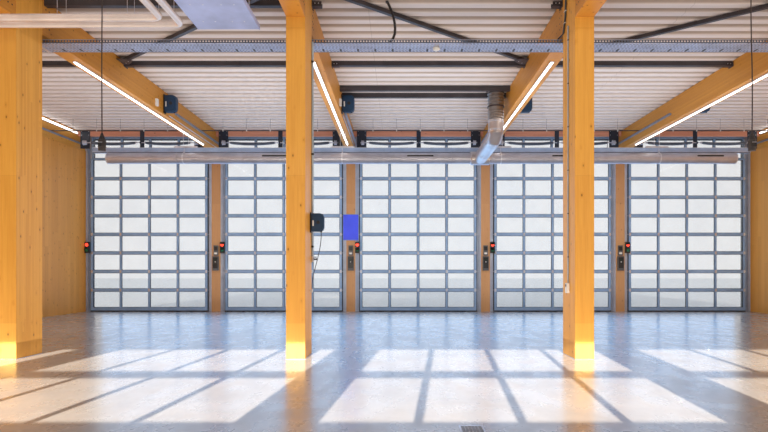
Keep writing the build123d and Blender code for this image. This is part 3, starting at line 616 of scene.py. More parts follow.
# The radiant panel's blue is a painted reflection of the sky over its pale coating.
PALE_PANEL = Coating("radiant_panel_coating_with_painted_sky_blue", (0.38, 0.46, 0.75), 0.4, clouds=0.1)
BLUE_GREY_PIPE = Coating("blue_grey_pipe", (0.36, 0.46, 0.56), 0.32)
REEL_SHELL = Coating("reel_shell", (0.006, 0.040, 0.10), 0.42)
HOSE = Coating("black_hose", (0.02, 0.02, 0.022), 0.5)
LEAD = Coating("lead_sheath", (0.035, 0.028, 0.026), 0.48)
CONNECTOR = Coating("connector_shell", (0.05, 0.045, 0.043), 0.4)
SLEEVE = Galvanised("flexible_sleeve", (0.47, 0.43, 0.40), 0.3, 0.9, wave=0.003)
BOARD = Coating("notice_board_face", (0.05, 0.09, 0.95), 0.3, clouds=0.05)
LED = Glow("led_diffuser", (1.0, 0.955, 0.90), 3.4)
RED_LAMP = Glow("red_lamp", (0.95, 0.06, 0.03), 2.0)
GREEN_LAMP = Coating("green_lamp", (0.01, 0.13, 0.07), 0.2)
YARD = Coating("stage_floor", (0.80, 0.80, 0.79), 0.7, clouds=0.03)
OUTER_BOARDS = Boards("outer_boards", Z, Y, 0.14, (0.40, 0.235, 0.115), (0.22, 0.115, 0.055))


# Meshes


class Piece:
    """Gathers faces in frame metres and makes one named object of them."""

    def __init__(self, name: str, *finishes: Finish) -> None:
        """Starts an empty piece.

        Args:
            name: the piece's name.
            finishes: its finishes; a face names one by its place here.
        """
        self.name = name
        self.finishes = finishes
        self.points: list[Vector] = []
        self.faces: list[tuple[int, ...]] = []
        self.slots: list[int] = []

    def add(self, points: Iterable[Row], faces: Iterable[Sequence[int]], slot: int = 0) -> None:
        """Adds faces, numbered from their own first point.

        Args:
            points: the points.
            faces: the faces, each a run of point numbers.
            slot: which finish they have.
        """
        start = len(self.points)
        self.points += [Vector(point) for point in points]
        fresh = [tuple(start + i for i in face) for face in faces]
        self.faces += fresh
        self.slots += [slot] * len(fresh)

    def _rings(self, points: Sequence[Row], sides: int, slot: int) -> None:
        """Adds a skin over rings of points, with a cap on both ends.

        Args:
            points: the rings' points, one ring after another.
            sides: how many points a ring has.
            slot: which finish it has.
        """
        rings = len(points) // sides
        faces = [
            (i * sides + k, i * sides + (k + 1) % sides, (i + 1) * sides + (k + 1) % sides, (i + 1) * sides + k)
            for i in range(rings - 1) for k in range(sides)
        ]
        caps = [tuple(reversed(range(sides))), tuple(range((rings - 1) * sides, rings * sides))]
        self.add(points, faces + caps, slot)

    def box(self, low: Row, high: Row, slot: int = 0) -> None:
        """Adds a block between two corners.

        Args:
            low: one corner.
            high: the opposite one.
            slot: which finish it has.
        """
        (x0, y0, z0), (x1, y1, z1) = [[f(a, b) for a, b in zip(low, high)] for f in (min, max)]
        points = [(x, y, z) for z in (z0, z1) for x, y in ((x0, y0), (x1, y0), (x1, y1), (x0, y1))]
        faces = [(3, 2, 1, 0), (4, 5, 6, 7)] + [(i, (i + 1) % 4, (i + 1) % 4 + 4, i + 4) for i in range(4)]
        self.add(points, faces, slot)

    def block(self, middle: Row, size: Row, slot: int = 0) -> None:
        """Adds a block about its middle."""
        half = [s / 2 for s in size]
        self.box([m - h for m, h in zip(middle, half)], [m + h for m, h in zip(middle, half)], slot)

    def prism(self, outline: Sequence[Flat], axis: Axis, start: float, end: float, slot: int = 0) -> None:
        """Adds an outline, given in the two axes that follow its own, drawn along that one from start to end."""
        self._rings([on_axis(axis, along, a, b) for along in (start, end) for a, b in outline], len(outline), slot)

    def tube(self, path: Sequence[Row], radius: Union[float, Row], sides: int = 12,
             slot: int = 0) -> None:
        """Adds a round tube along a path, mitred at its corners.

        Args:
            path: the path's points.
            radius: the tube's radius, or one for each point.
            sides: how many flats stand for its round.
            slot: which finish it has.
        """
        line = [Vector(point) for point in path]
        radii = [radius] * len(line) if isinstance(radius, (int, float)) else list(radius)
        count = len(line)
        runs = [(line[i + 1] - line[i]).normalized() for i in range(count - 1)]
        side = runs[0].orthogonal().normalized()
        points: list[Vector] = []
        for i, middle in enumerate(line):
            before, after = runs[max(i - 1, 0)], runs[min(i, count - 2)]
            tangent = (before + after).normalized()
            side = (side - side.project(after)).normalized()
            other = after.cross(side)
            cosine = max(0.35, tangent.dot(after))
            for k in range(sides):
                angle = tau * k / sides
                reach = (side * cos(angle) + other * sin(angle)) * radii[i]
                points.append(middle + reach - after * (reach.dot(tangent) / cosine))
        self._rings(points, sides, slot)

    def turned(self, profile: Sequence[Flat], origin: Row, axis: Axis, sides: int = 16,
               slot: int = 0) -> None:
        """Adds a solid of revolution.

        Args:
            profile: (along, radius) pairs in order along the axis.
            origin: where along is zero.
            axis: the axis that it turns about.
            sides: how many flats stand for its round.
            slot: which finish it has.
        """
        points = []
        for along, radius in profile:
            for angle in (tau * k / sides for k in range(sides)):
                reach = on_axis(axis, along, radius * cos(angle), radius * sin(angle))
                points.append([start + part for start, part in zip(origin, reach)])
        self._rings(points, sides, slot)

    def rod(self, ends: Row, radius: float, origin: Row, axis: Axis, sides: int = 16, slot: int = 0) -> None:
        """Adds a plain round bar between two places on an axis."""
        low, high = sorted(ends)
        self.turned([(low, radius), (high, radius)], origin, axis, sides, slot)

    def frame(self, outer: Row, border: float, axis: Axis, start: float, end: float,
              slot: int = 0) -> None:
        """Adds an even rectangular frame.

        Args:
            outer: the low and high edge in the axis after the given one, then in the one after that.
            border: how wide its sides are.
            axis: the axis that it faces along.
            start: where it starts on that axis.
            end: where it ends.
            slot: which finish it has.
        """
        a0, a1, b0, b1 = outer
        for low, high in (
            ((a0, b0), (a1, b0 + border)), ((a0, b1 - border), (a1, b1)),
            ((a0, b0 + border), (a0 + border, b1 - border)), ((a1 - border, b0 + border), (a1, b1 - border)),
        ):
            self.box(on_axis(axis, start, *low), on_axis(axis, end, *high), slot)

    def copies(self, moves: Sequence[Matrix]) -> "Piece":
        """Puts a copy of all that was added so far at each move, in its place.

        Args:
            moves: where each copy goes.

        Returns:
            The piece itself.
        """
        points, faces, slots = self.points, self.faces, self.slots
        self.points, self.faces, self.slots = [], [], []
        for move in moves:
            start = len(self.points)
            self.points += [move @ point for point in points]
            self.faces += [tuple(start + i for i in face) for face in faces]
            self.slots += slots
        return self

    def build(self, *replaced: str, bevel: float = 0.0, slot_name: str | None = None) -> Object:
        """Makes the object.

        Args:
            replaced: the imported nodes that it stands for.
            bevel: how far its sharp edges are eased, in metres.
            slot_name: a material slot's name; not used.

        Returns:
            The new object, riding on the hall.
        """
        mesh = bpy.data.meshes.new(self.name)
        mesh.from_pydata(self.points, [], self.faces)
        mesh.polygons.foreach_set("material_index", self.slots)
        for finish in self.finishes:
            mesh.materials.append(finish.material())
        mesh.update()
        mesh.shade_smooth()
        mesh.set_sharp_from_angle(angle=SHARP_ANGLE)
        made = new_object(self.name, mesh)
        if bevel:
            modifier = made.modifiers.new("eased_edges", "BEVEL")
            modifier.width, modifier.segments = bevel, 2
            modifier.limit_method, modifier.angle_limit = "ANGLE", BEVEL_ANGLE
        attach(made, BODY)
        if replaced:
            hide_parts(*replaced)
        log.info("%s: %d faces%s", self.name, len(self.faces), f", for {', '.join(replaced)}" if replaced else "")
        return made


def dress(finish: Finish, *nodes: str) -> None:
    """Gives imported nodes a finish.

    Args:
        finish: the finish.
        nodes: the nodes' names.
    """
    for name in nodes:
        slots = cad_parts[name].data.materials
        slots.clear()
        slots.append(finish.material())
    log.info("%s dresses %s", finish.name, ", ".join(nodes))


# The hall


@dataclass
class Hall:
    """The places that the sub-assemblies share, in metres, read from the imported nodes."""

    bay_count: int = 5
    timber: float = 0.3

    def __post_init__(self) -> None:
        """Reads the places from the frame."""
        (first, *_), (last, self.half_column, _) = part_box("mid_columns")
        self.bay = (last - first - self.timber) / self.bay_count
        self.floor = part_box("floor_slab")[1][2]
        self.beam_bottom, self.beam_top = (corner[2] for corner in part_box("back_beams"))
        self.post_inner, self.post_outer = (corner[1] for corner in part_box("back_wall_posts"))

    @property
    def bay_middles(self) -> list[float]:
        """The middle of each bay."""
        return [(i - (self.bay_count - 1) / 2) * self.bay for i in range(self.bay_count)]

    @property
    def grid(self) -> list[float]:
        """The grid lines across the bays."""
        return [(i - self.bay_count / 2) * self.bay for i in range(self.bay_count + 1)]

    @property
    def inner_grid(self) -> list[float]:
        """The grid lines between two bays."""
        return self.grid[1:-1]

    @property
    def half_clear(self) -> float:
        """Half the clear width between two timbers."""
        return (self.bay - self.timber) / 2

    def bays(self, turned: bool = False) -> list[Matrix]:
        """The moves from the middle bay's back end to every bay's, or to the front ends with turned."""
        moves = [shift(x) for x in self.bay_middles]
        return [HALF_TURN @ move for move in moves] if turned else moves


@dataclass
class TimberFrame:
    """Columns, beams, posts and the timber over the doors, with their steel fixings."""

    hall: Hall
    dowel_radius: float = 0.0145
    dowel_rows: tuple[float, ...] = (0.15, 0.25, 0.35, 0.45)
    dowel_proud: float = 0.003
    shoe_height: float = 0.005

    def build(self) -> None:
        """Dresses the frame and adds its dowels and column shoes."""
        dress(COLUMN_WOOD, "mid_columns")
        dress(POST_WOOD, "back_wall_posts", "front_wall_posts")
        dress(BEAM_WOOD, "back_beams", "front_beams")
        dress(HEADER_WOOD, "spring_headers", "wall_plates")
        dress(WALL_WOOD, "left_end_wall", "right_end_wall")
        self.dowels().build()
        self.shoes().build()

    def dowels(self) -> Piece:
        """The rows of dowel heads where beams meet columns and posts."""
        hall = self.hall
        piece = Piece("timber_dowels", STEEL_COAT)
        near = hall.half_column + 0.09
        far = hall.post_inner - 0.1
        places = (near, near + 0.09, far, far - 0.09, -near, -near - 0.09, -far, -far + 0.09)
        for x, side, y, rise in product(hall.grid, (-1, 1), places, self.dowel_rows):
            if abs(x + side * hall.timber) < hall.grid[-1] + hall.timber / 4:
                profile = [(-0.002, self.dowel_radius), (side * self.dowel_proud, self.dowel_radius * 0.85)]
                piece.turned(profile[::side], (x + side * hall.timber / 2, y, hall.beam_bottom + rise), X, 8)
        return piece

    def shoes(self) -> Piece:
        """The thin steel plates under the middle columns."""
        hall = self.hall
        piece = Piece("column_shoes", TRACK_METAL)
        half_x, half_y = hall.timber / 2 + 0.004, hall.half_column + 0.004
        for x in hall.grid:
            piece.frame((x - half_x, x + half_x, -half_y, half_y), 0.004, Z, hall.floor,
                        hall.floor + self.shoe_height)
        return piece


@dataclass
class FloorWorks:
    """The concrete floor and the mesh gratings of its drains."""

    hall: Hall
    bar: float = 0.004
    bar_spacing: float = 0.033
    edge: float = 0.018
    depth: float = 0.025

    def build(self) -> None:
        """Dresses the floor and lays the gratings."""
        dress(FLOOR, "floor_slab")
        low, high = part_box("drain_grates")
        half_width = high[0] - self.hall.bay_middles[-1]
        piece = Piece("drain_gratings", ZINC, GASKET)
        top = self.hall.floor
        start, end = low[1], high[1]
        piece.frame((-half_width, half_width, start, end), self.edge, Z, top - self.depth, top)
        for k in range(1, 6):
            x = -half_width + self.edge + k * 2 * (half_width - self.edge) / 6
            piece.box((x - self.bar / 2, start, top - self.depth), (x + self.bar / 2, end, top - 0.002))
        for k in range(int((end - start) / self.bar_spacing)):
            y = start + (k + 0.5) * self.bar_spacing
            piece.box((-half_width, y - self.bar / 2, top - self.depth), (half_width, y + self.bar / 2, top))
        piece.box((-half_width, start, low[2] + 0.001), (half_width, end, low[2] + 0.004), 1)
        piece.copies(self.hall.bays()).build("drain_grates", slot_name="galvanised")


@dataclass
class RoofWorks:
    """The deck, the roofing, the parapet's cap and the outer bands."""

    hall: Hall
    cover_width: float = 0.05
    cover_proud: float = 0.004
    cover_spacing: float = 2.25

    def build(self) -> None:
        """Dresses the roof and adds the covers over its joints."""
        dress(DECK, "roof_deck")
        dress(ROOFING, "roof_insulation")
        dress(CLADDING_COAT, "fascias", "roof_coping", "roof_cowl", "back_piers", "front_piers")
        dress(ZINC, "roof_outlet")
        self.joint_covers().build(slot_name="dark_cladding")
        self.roof_edge().build(slot_name="roofing")

    def joint_covers(self) -> Piece:
        """The narrow covers over the joints of the coping and the fascias."""
        piece = Piece("coping_joint_covers", CLADDING_COAT)
        low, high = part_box("roof_coping")
        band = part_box("fascias")
        half, proud = self.cover_width / 2, self.cover_proud
        inner_y = self.hall.post_outer - 0.03
        count = int(high[0] / self.cover_spacing)
        for k in range(-count, count + 1):
            x = k * self.cover_spacing
            for side in (-1, 1):
                piece.box((x - half, side * inner_y, low[2] + 0.002),
                          (x + half, side * (high[1] - 0.001), high[2] + proud))
                piece.box((x - half / 2, side * (band[1][1] - 0.002), band[0][2]),
                          (x + half / 2, side * (band[1][1] + proud), band[1][2]))
        return piece

    def roof_edge(self) -> Piece:
        """The roofing turned up against the parapet, and round the outlet's curb."""
        piece = Piece("roofing_upstands", ROOFING)
        low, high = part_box("roof_insulation")
        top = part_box("roof_coping")[0][2]
        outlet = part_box("roof_outlet")
        thin, slope = 0.012, 0.09
        for along, end, other in ((Y, high[0], high[1]), (X, high[1], high[0])):
            for side in (-1, 1):
                triangle = [(side * end, high[2]), (side * (end - slope), high[2]), (side * end, high[2] + slope)]
                piece.prism(triangle if along == X else [(b, a) for a, b in triangle], along, -other, other)
        for side in (-1, 1):
            piece.box((side * (high[0] - thin), low[1], high[2]), (side * high[0], high[1], top))
            piece.box((low[0], side * (high[1] - thin), high[2]), (high[0], side * high[1], top))
        ring = (outlet[0][0] - thin, outlet[1][0] + thin, outlet[0][1] - thin, outlet[1][1] + thin)
        piece.frame(ring, thin, Z, high[2], high[2] + 0.2)
        return piece


@dataclass
class EndCladding:
    """Upright boards with open joints on a dark backing, on one end of the hall."""

    side: str
    board: float = 0.14
    joint: float = 0.009
    backing: float = 0.045

    def build(self) -> None:
        """Makes the boards in place of the plain cladding."""
        node = f"{self.side}_end_cladding"
        low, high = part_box(node)
        inner, outer = sorted((low[0], high[0]), key=abs)
        sign = 1 if outer > 0 else -1
        piece = Piece(f"{self.side}_outer_boards", OUTER_BOARDS, GASKET)
        piece.box((inner, low[1], low[2]), (inner + sign * self.backing, high[1], high[2]), 1)
        first, last = ceil(low[1] / self.board), floor(high[1] / self.board)
        edges = [low[1]] + [k * self.board for k in range(first, last + 1)] + [high[1]]
        for start, end in zip(edges, edges[1:]):
            if end - start > 3 * self.joint:
                piece.box((inner + sign * self.backing, start + self.joint / 2, low[2] + 0.012),
                          (outer, end - self.joint / 2, high[2] - 0.002))
        piece.build(node, bevel=0.002, slot_name="outer_boards")


# Doors


@dataclass
class DoorWall:
    """The five sectional doors and transoms of one long wall."""

    hall: Hall
    side: str
    glazed: tuple[int, ...]
    cells: int = 4
    sections: int = 8
    bottom_height: float = 0.718
    pitch: float = 0.622
    half_rail: float = 0.046
    bottom_rail: float = 0.14
    stile: float = 0.074
    bar_width: float = 0.066
    bead: float = 0.013
    transom_frame: float = 0.07
    hinge_size: Point = (0.06, 0.003, 0.1)
    bands: int = 5

    def __post_init__(self) -> None:
        """Reads the leaf's and the transom's places, as on the back wall."""
        turned = self.side == "front"
        leaf = [self._unturned(corner, turned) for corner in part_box(f"{self.side}_door_leaves")]
        self.inner, self.outer = sorted(corner[1] for corner in leaf)
        self.leaf_top = max(corner[2] for corner in leaf)
        self.half_leaf = max(abs(corner[0]) for corner in leaf) - self.hall.bay_middles[-1]
        light = [self._unturned(corner, turned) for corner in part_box(f"{self.side}_transoms")]
        self.transom_inner, self.transom_outer = sorted(corner[1] for corner in light)
        self.transom_low, self.transom_high = sorted(corner[2] for corner in light)
        self.turned = turned

    @staticmethod
    def _unturned(corner: Row, turned: bool) -> Point:
        """A corner as it lies on the back wall."""
        sign = -1 if turned else 1
        return sign * corner[0], sign * corner[1], corner[2]

    def joint(self, index: int) -> float:
        """The level of the joint under a section, or of the floor under the first."""
        return self.hall.floor + (self.bottom_height + (index - 1) * self.pitch if index else 0.0)

    def cell_edges(self) -> list[Flat]:
        """The left and right edge of each light."""
        clear = 2 * (self.half_leaf - self.stile) - (self.cells - 1) * self.bar_width
        cell = clear / self.cells
        lefts = [-self.half_leaf + self.stile + i * (cell + self.bar_width) for i in range(self.cells)]
        return [(left, left + cell) for left in lefts]

    def bar_places(self) -> list[float]:
        """The middle of each bar between two lights."""
        cells = self.cell_edges()
        return [(a[1] + b[0]) / 2 for a, b in zip(cells, cells[1:])]

    def clear_height(self, index: int) -> Flat:
        """The bottom and top of the lights of a section, counted from the floor."""
        top = self.leaf_top if index == self.sections - 1 else self.joint(index + 1)
        return self.joint(index) + (self.half_rail if index else self.bottom_rail), top - self.half_rail

    def build(self) -> None:
        """Dresses the wall's doors and adds their fine pieces."""
        side = self.side
        dress(GLASS, f"{side}_door_glazing")
        dress(FRAME_COAT if side == "back" else PANEL_COAT, f"{side}_door_leaves")
        dress(FRAME_COAT, f"{side}_transoms")
        dress(TRACK_METAL, f"{side}_door_tracks")
        moves = self.hall.bays(self.turned)
        self.bars().copies(moves).build(bevel=0.0025, slot_name="door_frame")
        self.beads().copies(moves).build()
        self.hinges().copies(moves).build()
        self.rollers().copies(moves).build()
        self.seals().copies(moves).build()
        if side == "front":
            self.panel_ribs().copies(moves).build(slot_name="door_frame")

    def bars(self) -> Piece:
        """The uprights between the lights of a door and of its transom."""
        piece = Piece(f"{self.side}_glazing_bars", FRAME_COAT)
        half = self.bar_width / 2
        for x in self.bar_places():
            for index in self.glazed:
                low, high = self.clear_height(index)
                piece.box((x - half, self.inner, low - 0.004), (x + half, self.outer, high + 0.004))
            piece.box((x - half, self.transom_inner + 0.004, self.transom_low + self.transom_frame - 0.004),
                      (x + half, self.transom_outer, self.transom_high - self.transom_frame + 0.004))
        return piece

    def beads(self) -> Piece:
        """The black gaskets round every light."""
        piece = Piece(f"{self.side}_glazing_gaskets", GASKET)
        for left, right in self.cell_edges():
            for index in self.glazed:
                low, high = self.clear_height(index)
                piece.frame((low, high, left, right), self.bead, Y, self.outer - 0.016, self.outer)
            low, high = self.transom_low + self.transom_frame, self.transom_high - self.transom_frame
            piece.frame((low, high, left, right), self.bead, Y, self.transom_outer - 0.016, self.transom_outer)
        return piece

    def hinges(self) -> Piece:
        """The hinges across the joints of the sections, on the inner face."""
        piece = Piece(f"{self.side}_door_hinges", ZINC)
        width, thick, height = self.hinge_size
        places = [-self.half_leaf + self.stile / 2, self.half_leaf - self.stile / 2, *self.bar_places()]
        leaf = (width, thick, height / 2 - 0.004)
        for index, x in product(range(1, self.sections), places):
            z = self.joint(index)
            for part in (-1, 1):
                piece.block((x, self.inner - thick / 2, z + part * height / 4), leaf)
            piece.rod((-width / 2, width / 2), 0.0085, (x, self.inner - 0.009, z), X, 8)
        return piece

    def rollers(self) -> Piece:
        """The rollers that run in the tracks, on their stems."""
        piece = Piece(f"{self.side}_door_rollers", ZINC, WHITE_PLASTIC)
        y = (self.inner + self.outer) / 2
        reach = self.hall.half_clear - 0.022
        for index in range(1, self.sections + 1):
            z = self.joint(index) if index < self.sections else self.leaf_top - self.half_rail
            for part in (-1, 1):
                piece.rod((part * (self.half_leaf - 0.01), part * reach), 0.0055, (0, y, z), X, 6)
                wheel = sorted((part * (reach - 0.030), part * (reach - 0.014)))
                middle = sum(wheel) / 2
                piece.turned([(wheel[0], 0.012), (middle - 0.006, 0.0155), (middle + 0.006, 0.0155),
                              (wheel[1], 0.012)], (0, y, z), X, 12, 1)
        return piece

    def seals(self) -> Piece:
        """The rubber along a door's foot and up its two sides."""
        piece = Piece(f"{self.side}_door_seals", GASKET)
        low = self.hall.floor + 0.0005
        piece.box((-self.half_leaf, self.inner - 0.004, low), (self.half_leaf, self.outer + 0.003, low + 0.035))
        for part in (-1, 1):
            edge = part * self.half_leaf
            piece.box((edge - part * 0.012, self.outer + 0.001, low),
                      (edge + part * 0.03, self.outer + 0.0095, self.leaf_top))
        return piece

    def panel_ribs(self) -> Piece:
        """The shallow pressed bands of the closed sections, on the outer face."""
        piece = Piece("front_panel_bands", PANEL_COAT)
        for index, k in product(range(self.sections), range(self.bands)):
            if index not in self.glazed:
                low, high = self.clear_height(index)
                step = (high - low + 0.06) / self.bands
                bottom = low - 0.03 + k * step
                piece.box((-self.half_leaf + 0.02, self.outer - 0.001, bottom + 0.012),
                          (self.half_leaf - 0.02, self.outer + 0.003, bottom + step - 0.012))
        return piece


@dataclass
class SpringGear:
    """The torsion springs over the doors of one wall, on their shafts, with cable drums and bearing plates."""

    hall: Hall
    side: str
    sag: float = 0.045
    coil_pitch: float = 0.016
    spring_start: float = 0.16
    spring_length: float = 1.44
    spring_radius: float = 0.0475
    cone_length: float = 0.07
    shaft_radius: float = 0.014
    drum_radius: float = 0.085
    drum_length: float = 0.09
    plate: float = 0.01
    end_plate_width: float = 0.31
    centre_plate_width: float = 0.14
    header_depth: float = 0.1
    clearance: float = 0.015

    def build(self) -> None:
        """Makes the gear in place of the plain shafts."""
        node = f"{self.side}_spring_shafts"
        low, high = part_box(node)
        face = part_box("spring_headers")[1][1] - self.header_depth
        y = face - self.plate - self.clearance - self.drum_radius
        z = low[2] + 2 * self.drum_radius
        outer = high[0] - self.hall.bay_middles[-1]
        inner = outer - self.end_plate_width
        drum_middle = inner + self.end_plate_width / 2 - self.drum_length / 2
        half_shaft = drum_middle + self.drum_length
        piece = Piece(f"{self.side}_spring_gear", GEAR_COAT, DULL_ZINC, SPRING_STEEL)
        piece.rod((-half_shaft, half_shaft), self.shaft_radius, (0, y, z), X, 12, 1)
        for part in (-1, 1):
            self._spring(piece, part, y, z)
            self._drum(piece, part * drum_middle, y, z)
            piece.box((part * inner, face - self.plate, low[2]), (part * outer, face, high[2]))
            arm = part * (half_shaft - self.plate)
            piece.box((arm, y - 0.045, z - 0.045), (arm + part * self.plate, face - self.plate, z + 0.045))
            for rise, bolt in product((0.03, 0.15), (inner + 0.04, outer - 0.04)):
                piece.rod((-self.plate - 0.008, -self.plate), 0.011, (part * bolt, face, high[2] - rise), Y, 6, 1)
        half = self.centre_plate_width / 2
        piece.box((-half, face - self.plate, low[2]), (half, face, high[2]))
        piece.rod((-0.022, 0.022), 0.04, (0, y, z), X, 16)
        piece.box((-0.01, y, z - 0.04), (0.01, face - self.plate, z + 0.04))
        piece.copies(self.hall.bays(self.side == "front")).build(node, slot_name="dark_steel")

    def _spring(self, piece: Piece, part: int, y: float, z: float) -> None:
        """Adds one spring, a ridge a turn, that sags between its cones.

        Args:
            piece: what it is added to.
            part: which side of the middle it is on, -1 or 1.
            y: where the shaft runs.
            z: the shaft's level.
        """
        turns = round(self.spring_length / self.coil_pitch)
        path, radii = [], []
        for k in range(2 * turns + 1):
            share = k / (2 * turns)
            drop = self.sag * (1.0 - (2.0 * share - 1.0) ** 2)
            along = share * self.spring_length
            to_end = min(along, self.spring_length - along)
            taper = 0.72 + 0.28 * min(1.0, to_end / self.cone_length)
            ridge = 0.0 if k % 2 else 0.0035
            path.append((part * (self.spring_start + along), y, z - drop))
            radii.append(self.spring_radius * taper - ridge)
        piece.tube(path, radii, 10, 2)
        for along in (self.spring_start - 0.03, self.spring_start + self.spring_length):
            piece.rod((part * along, part * (along + 0.03)), 0.036, (0, y, z), X, 12, 1)

    def _drum(self, piece: Piece, x: float, y: float, z: float) -> None:
        """Adds one grooved cable drum.

        Args:
            piece: what it is added to.
            x: its middle on the shaft.
            y: where the shaft runs.
            z: the shaft's level.
        """
        half = self.drum_length / 2
        profile = [(-half, self.drum_radius)]
        for k in range(7):
            along = -half + 0.012 + k * 0.011
            profile += [(along, self.drum_radius - 0.016), (along + 0.0055, self.drum_radius - 0.01)]
        profile.append((half, self.drum_radius * 0.6))
        piece.turned(profile, (x, y, z), X, 20, 1)


# Under the roof


@dataclass
class Bracing:
    """The roof's steel bracing, with the shoes, gussets and bolts that hold it to the beams."""

    hall: Hall
    strut: float = 0.1
    strut_offset: float = 3.15
    mid_strut_offset: float = 0.41
    brace: float = 0.07
    brace_near: float = -0.26
    brace_far: float = 3.0
    plate: float = 0.008
    shoe_reach: float = 0.16
    gusset_reach: float = 0.3
    bolt_radius: float = 0.009

    def build(self) -> None:
        """Dresses the bracing and adds what holds it."""
        dress(STEEL_COAT, "roof_bracing")
        hall = self.hall
        piece = Piece("bracing_brackets", STEEL_COAT, ZINC)
        for index, x in enumerate(hall.bay_middles):
            for side in (-1, 1):
                face = x + side * hall.half_clear
                self._shoe(piece, face, -side, self.strut_offset)
                if index == len(hall.bay_middles) // 2:
                    self._shoe(piece, face, -side, self.mid_strut_offset)
        for index, rising in ((1, -1), (2, 1), (3, -1)):
            x = hall.bay_middles[index]
            for side in (-1, 1):
                end = self.brace_far if side == rising else self.brace_near
                inward = -1 if side == rising else 1
                self._gusset(piece, x + side * hall.half_clear, -side, end, inward)
        piece.build(slot_name="dark_steel")

    def _shoe(self, piece: Piece, face: float, away: int, y: float) -> None:
        """Adds the seat and the two cheeks that a strut's end lies in.

        Args:
            piece: what it is added to.
            face: the beam's face.
            away: the way off that face, -1 or 1.
            y: the strut's middle.
        """
        foot = self.hall.beam_top - self.strut
        half, reach = self.strut / 2, face + away * self.shoe_reach
        piece.box((face, y - half - 0.04, foot - 0.03), (face + away * self.plate, y + half + 0.04, foot + 0.08))
        piece.box((face, y - half - self.plate, foot - self.plate), (reach, y + half + self.plate, foot - 0.0005))
        for side in (-1, 1):
            cheek = y + side * half
            piece.box((face, cheek, foot - 0.001), (reach, cheek + side * self.plate, foot + 0.07))
            for along in (0.05, 0.11):
                piece.rod((side * self.plate, side * (self.plate + 0.007)), self.bolt_radius,
                          (face + away * along, cheek, foot + 0.035), Y, 6, 1)

    def _gusset(self, piece: Piece, face: float, away: int, y: float, inward: int) -> None:
        """Adds the level plate that a brace's end is bolted to.

        Args:
            piece: what it is added to.
            face: the beam's face.
            away: the way off that face, -1 or 1.
            y: where the brace meets it.
            inward: the way to the brace's other end, -1 or 1.
        """
        level = self.hall.beam_top - self.strut / 2 - self.brace / 2 - self.plate
        near, far = y - inward * 0.07, y + inward * 0.26
        outline = [(face, near), (face + away * 0.12, near), (face + away * self.gusset_reach, y + inward * 0.14),
                   (face + away * 0.2, far), (face, far)]
        flipped = outline if away * inward > 0 else outline[::-1]
        piece.prism(flipped, Z, level, level + self.plate)
        for out, along in ((0.1, 0.03), (0.19, 0.12)):
            piece.rod((-0.008, 0.0), self.bolt_radius, (face + away * out, y + inward * along, level), Z, 6, 1)


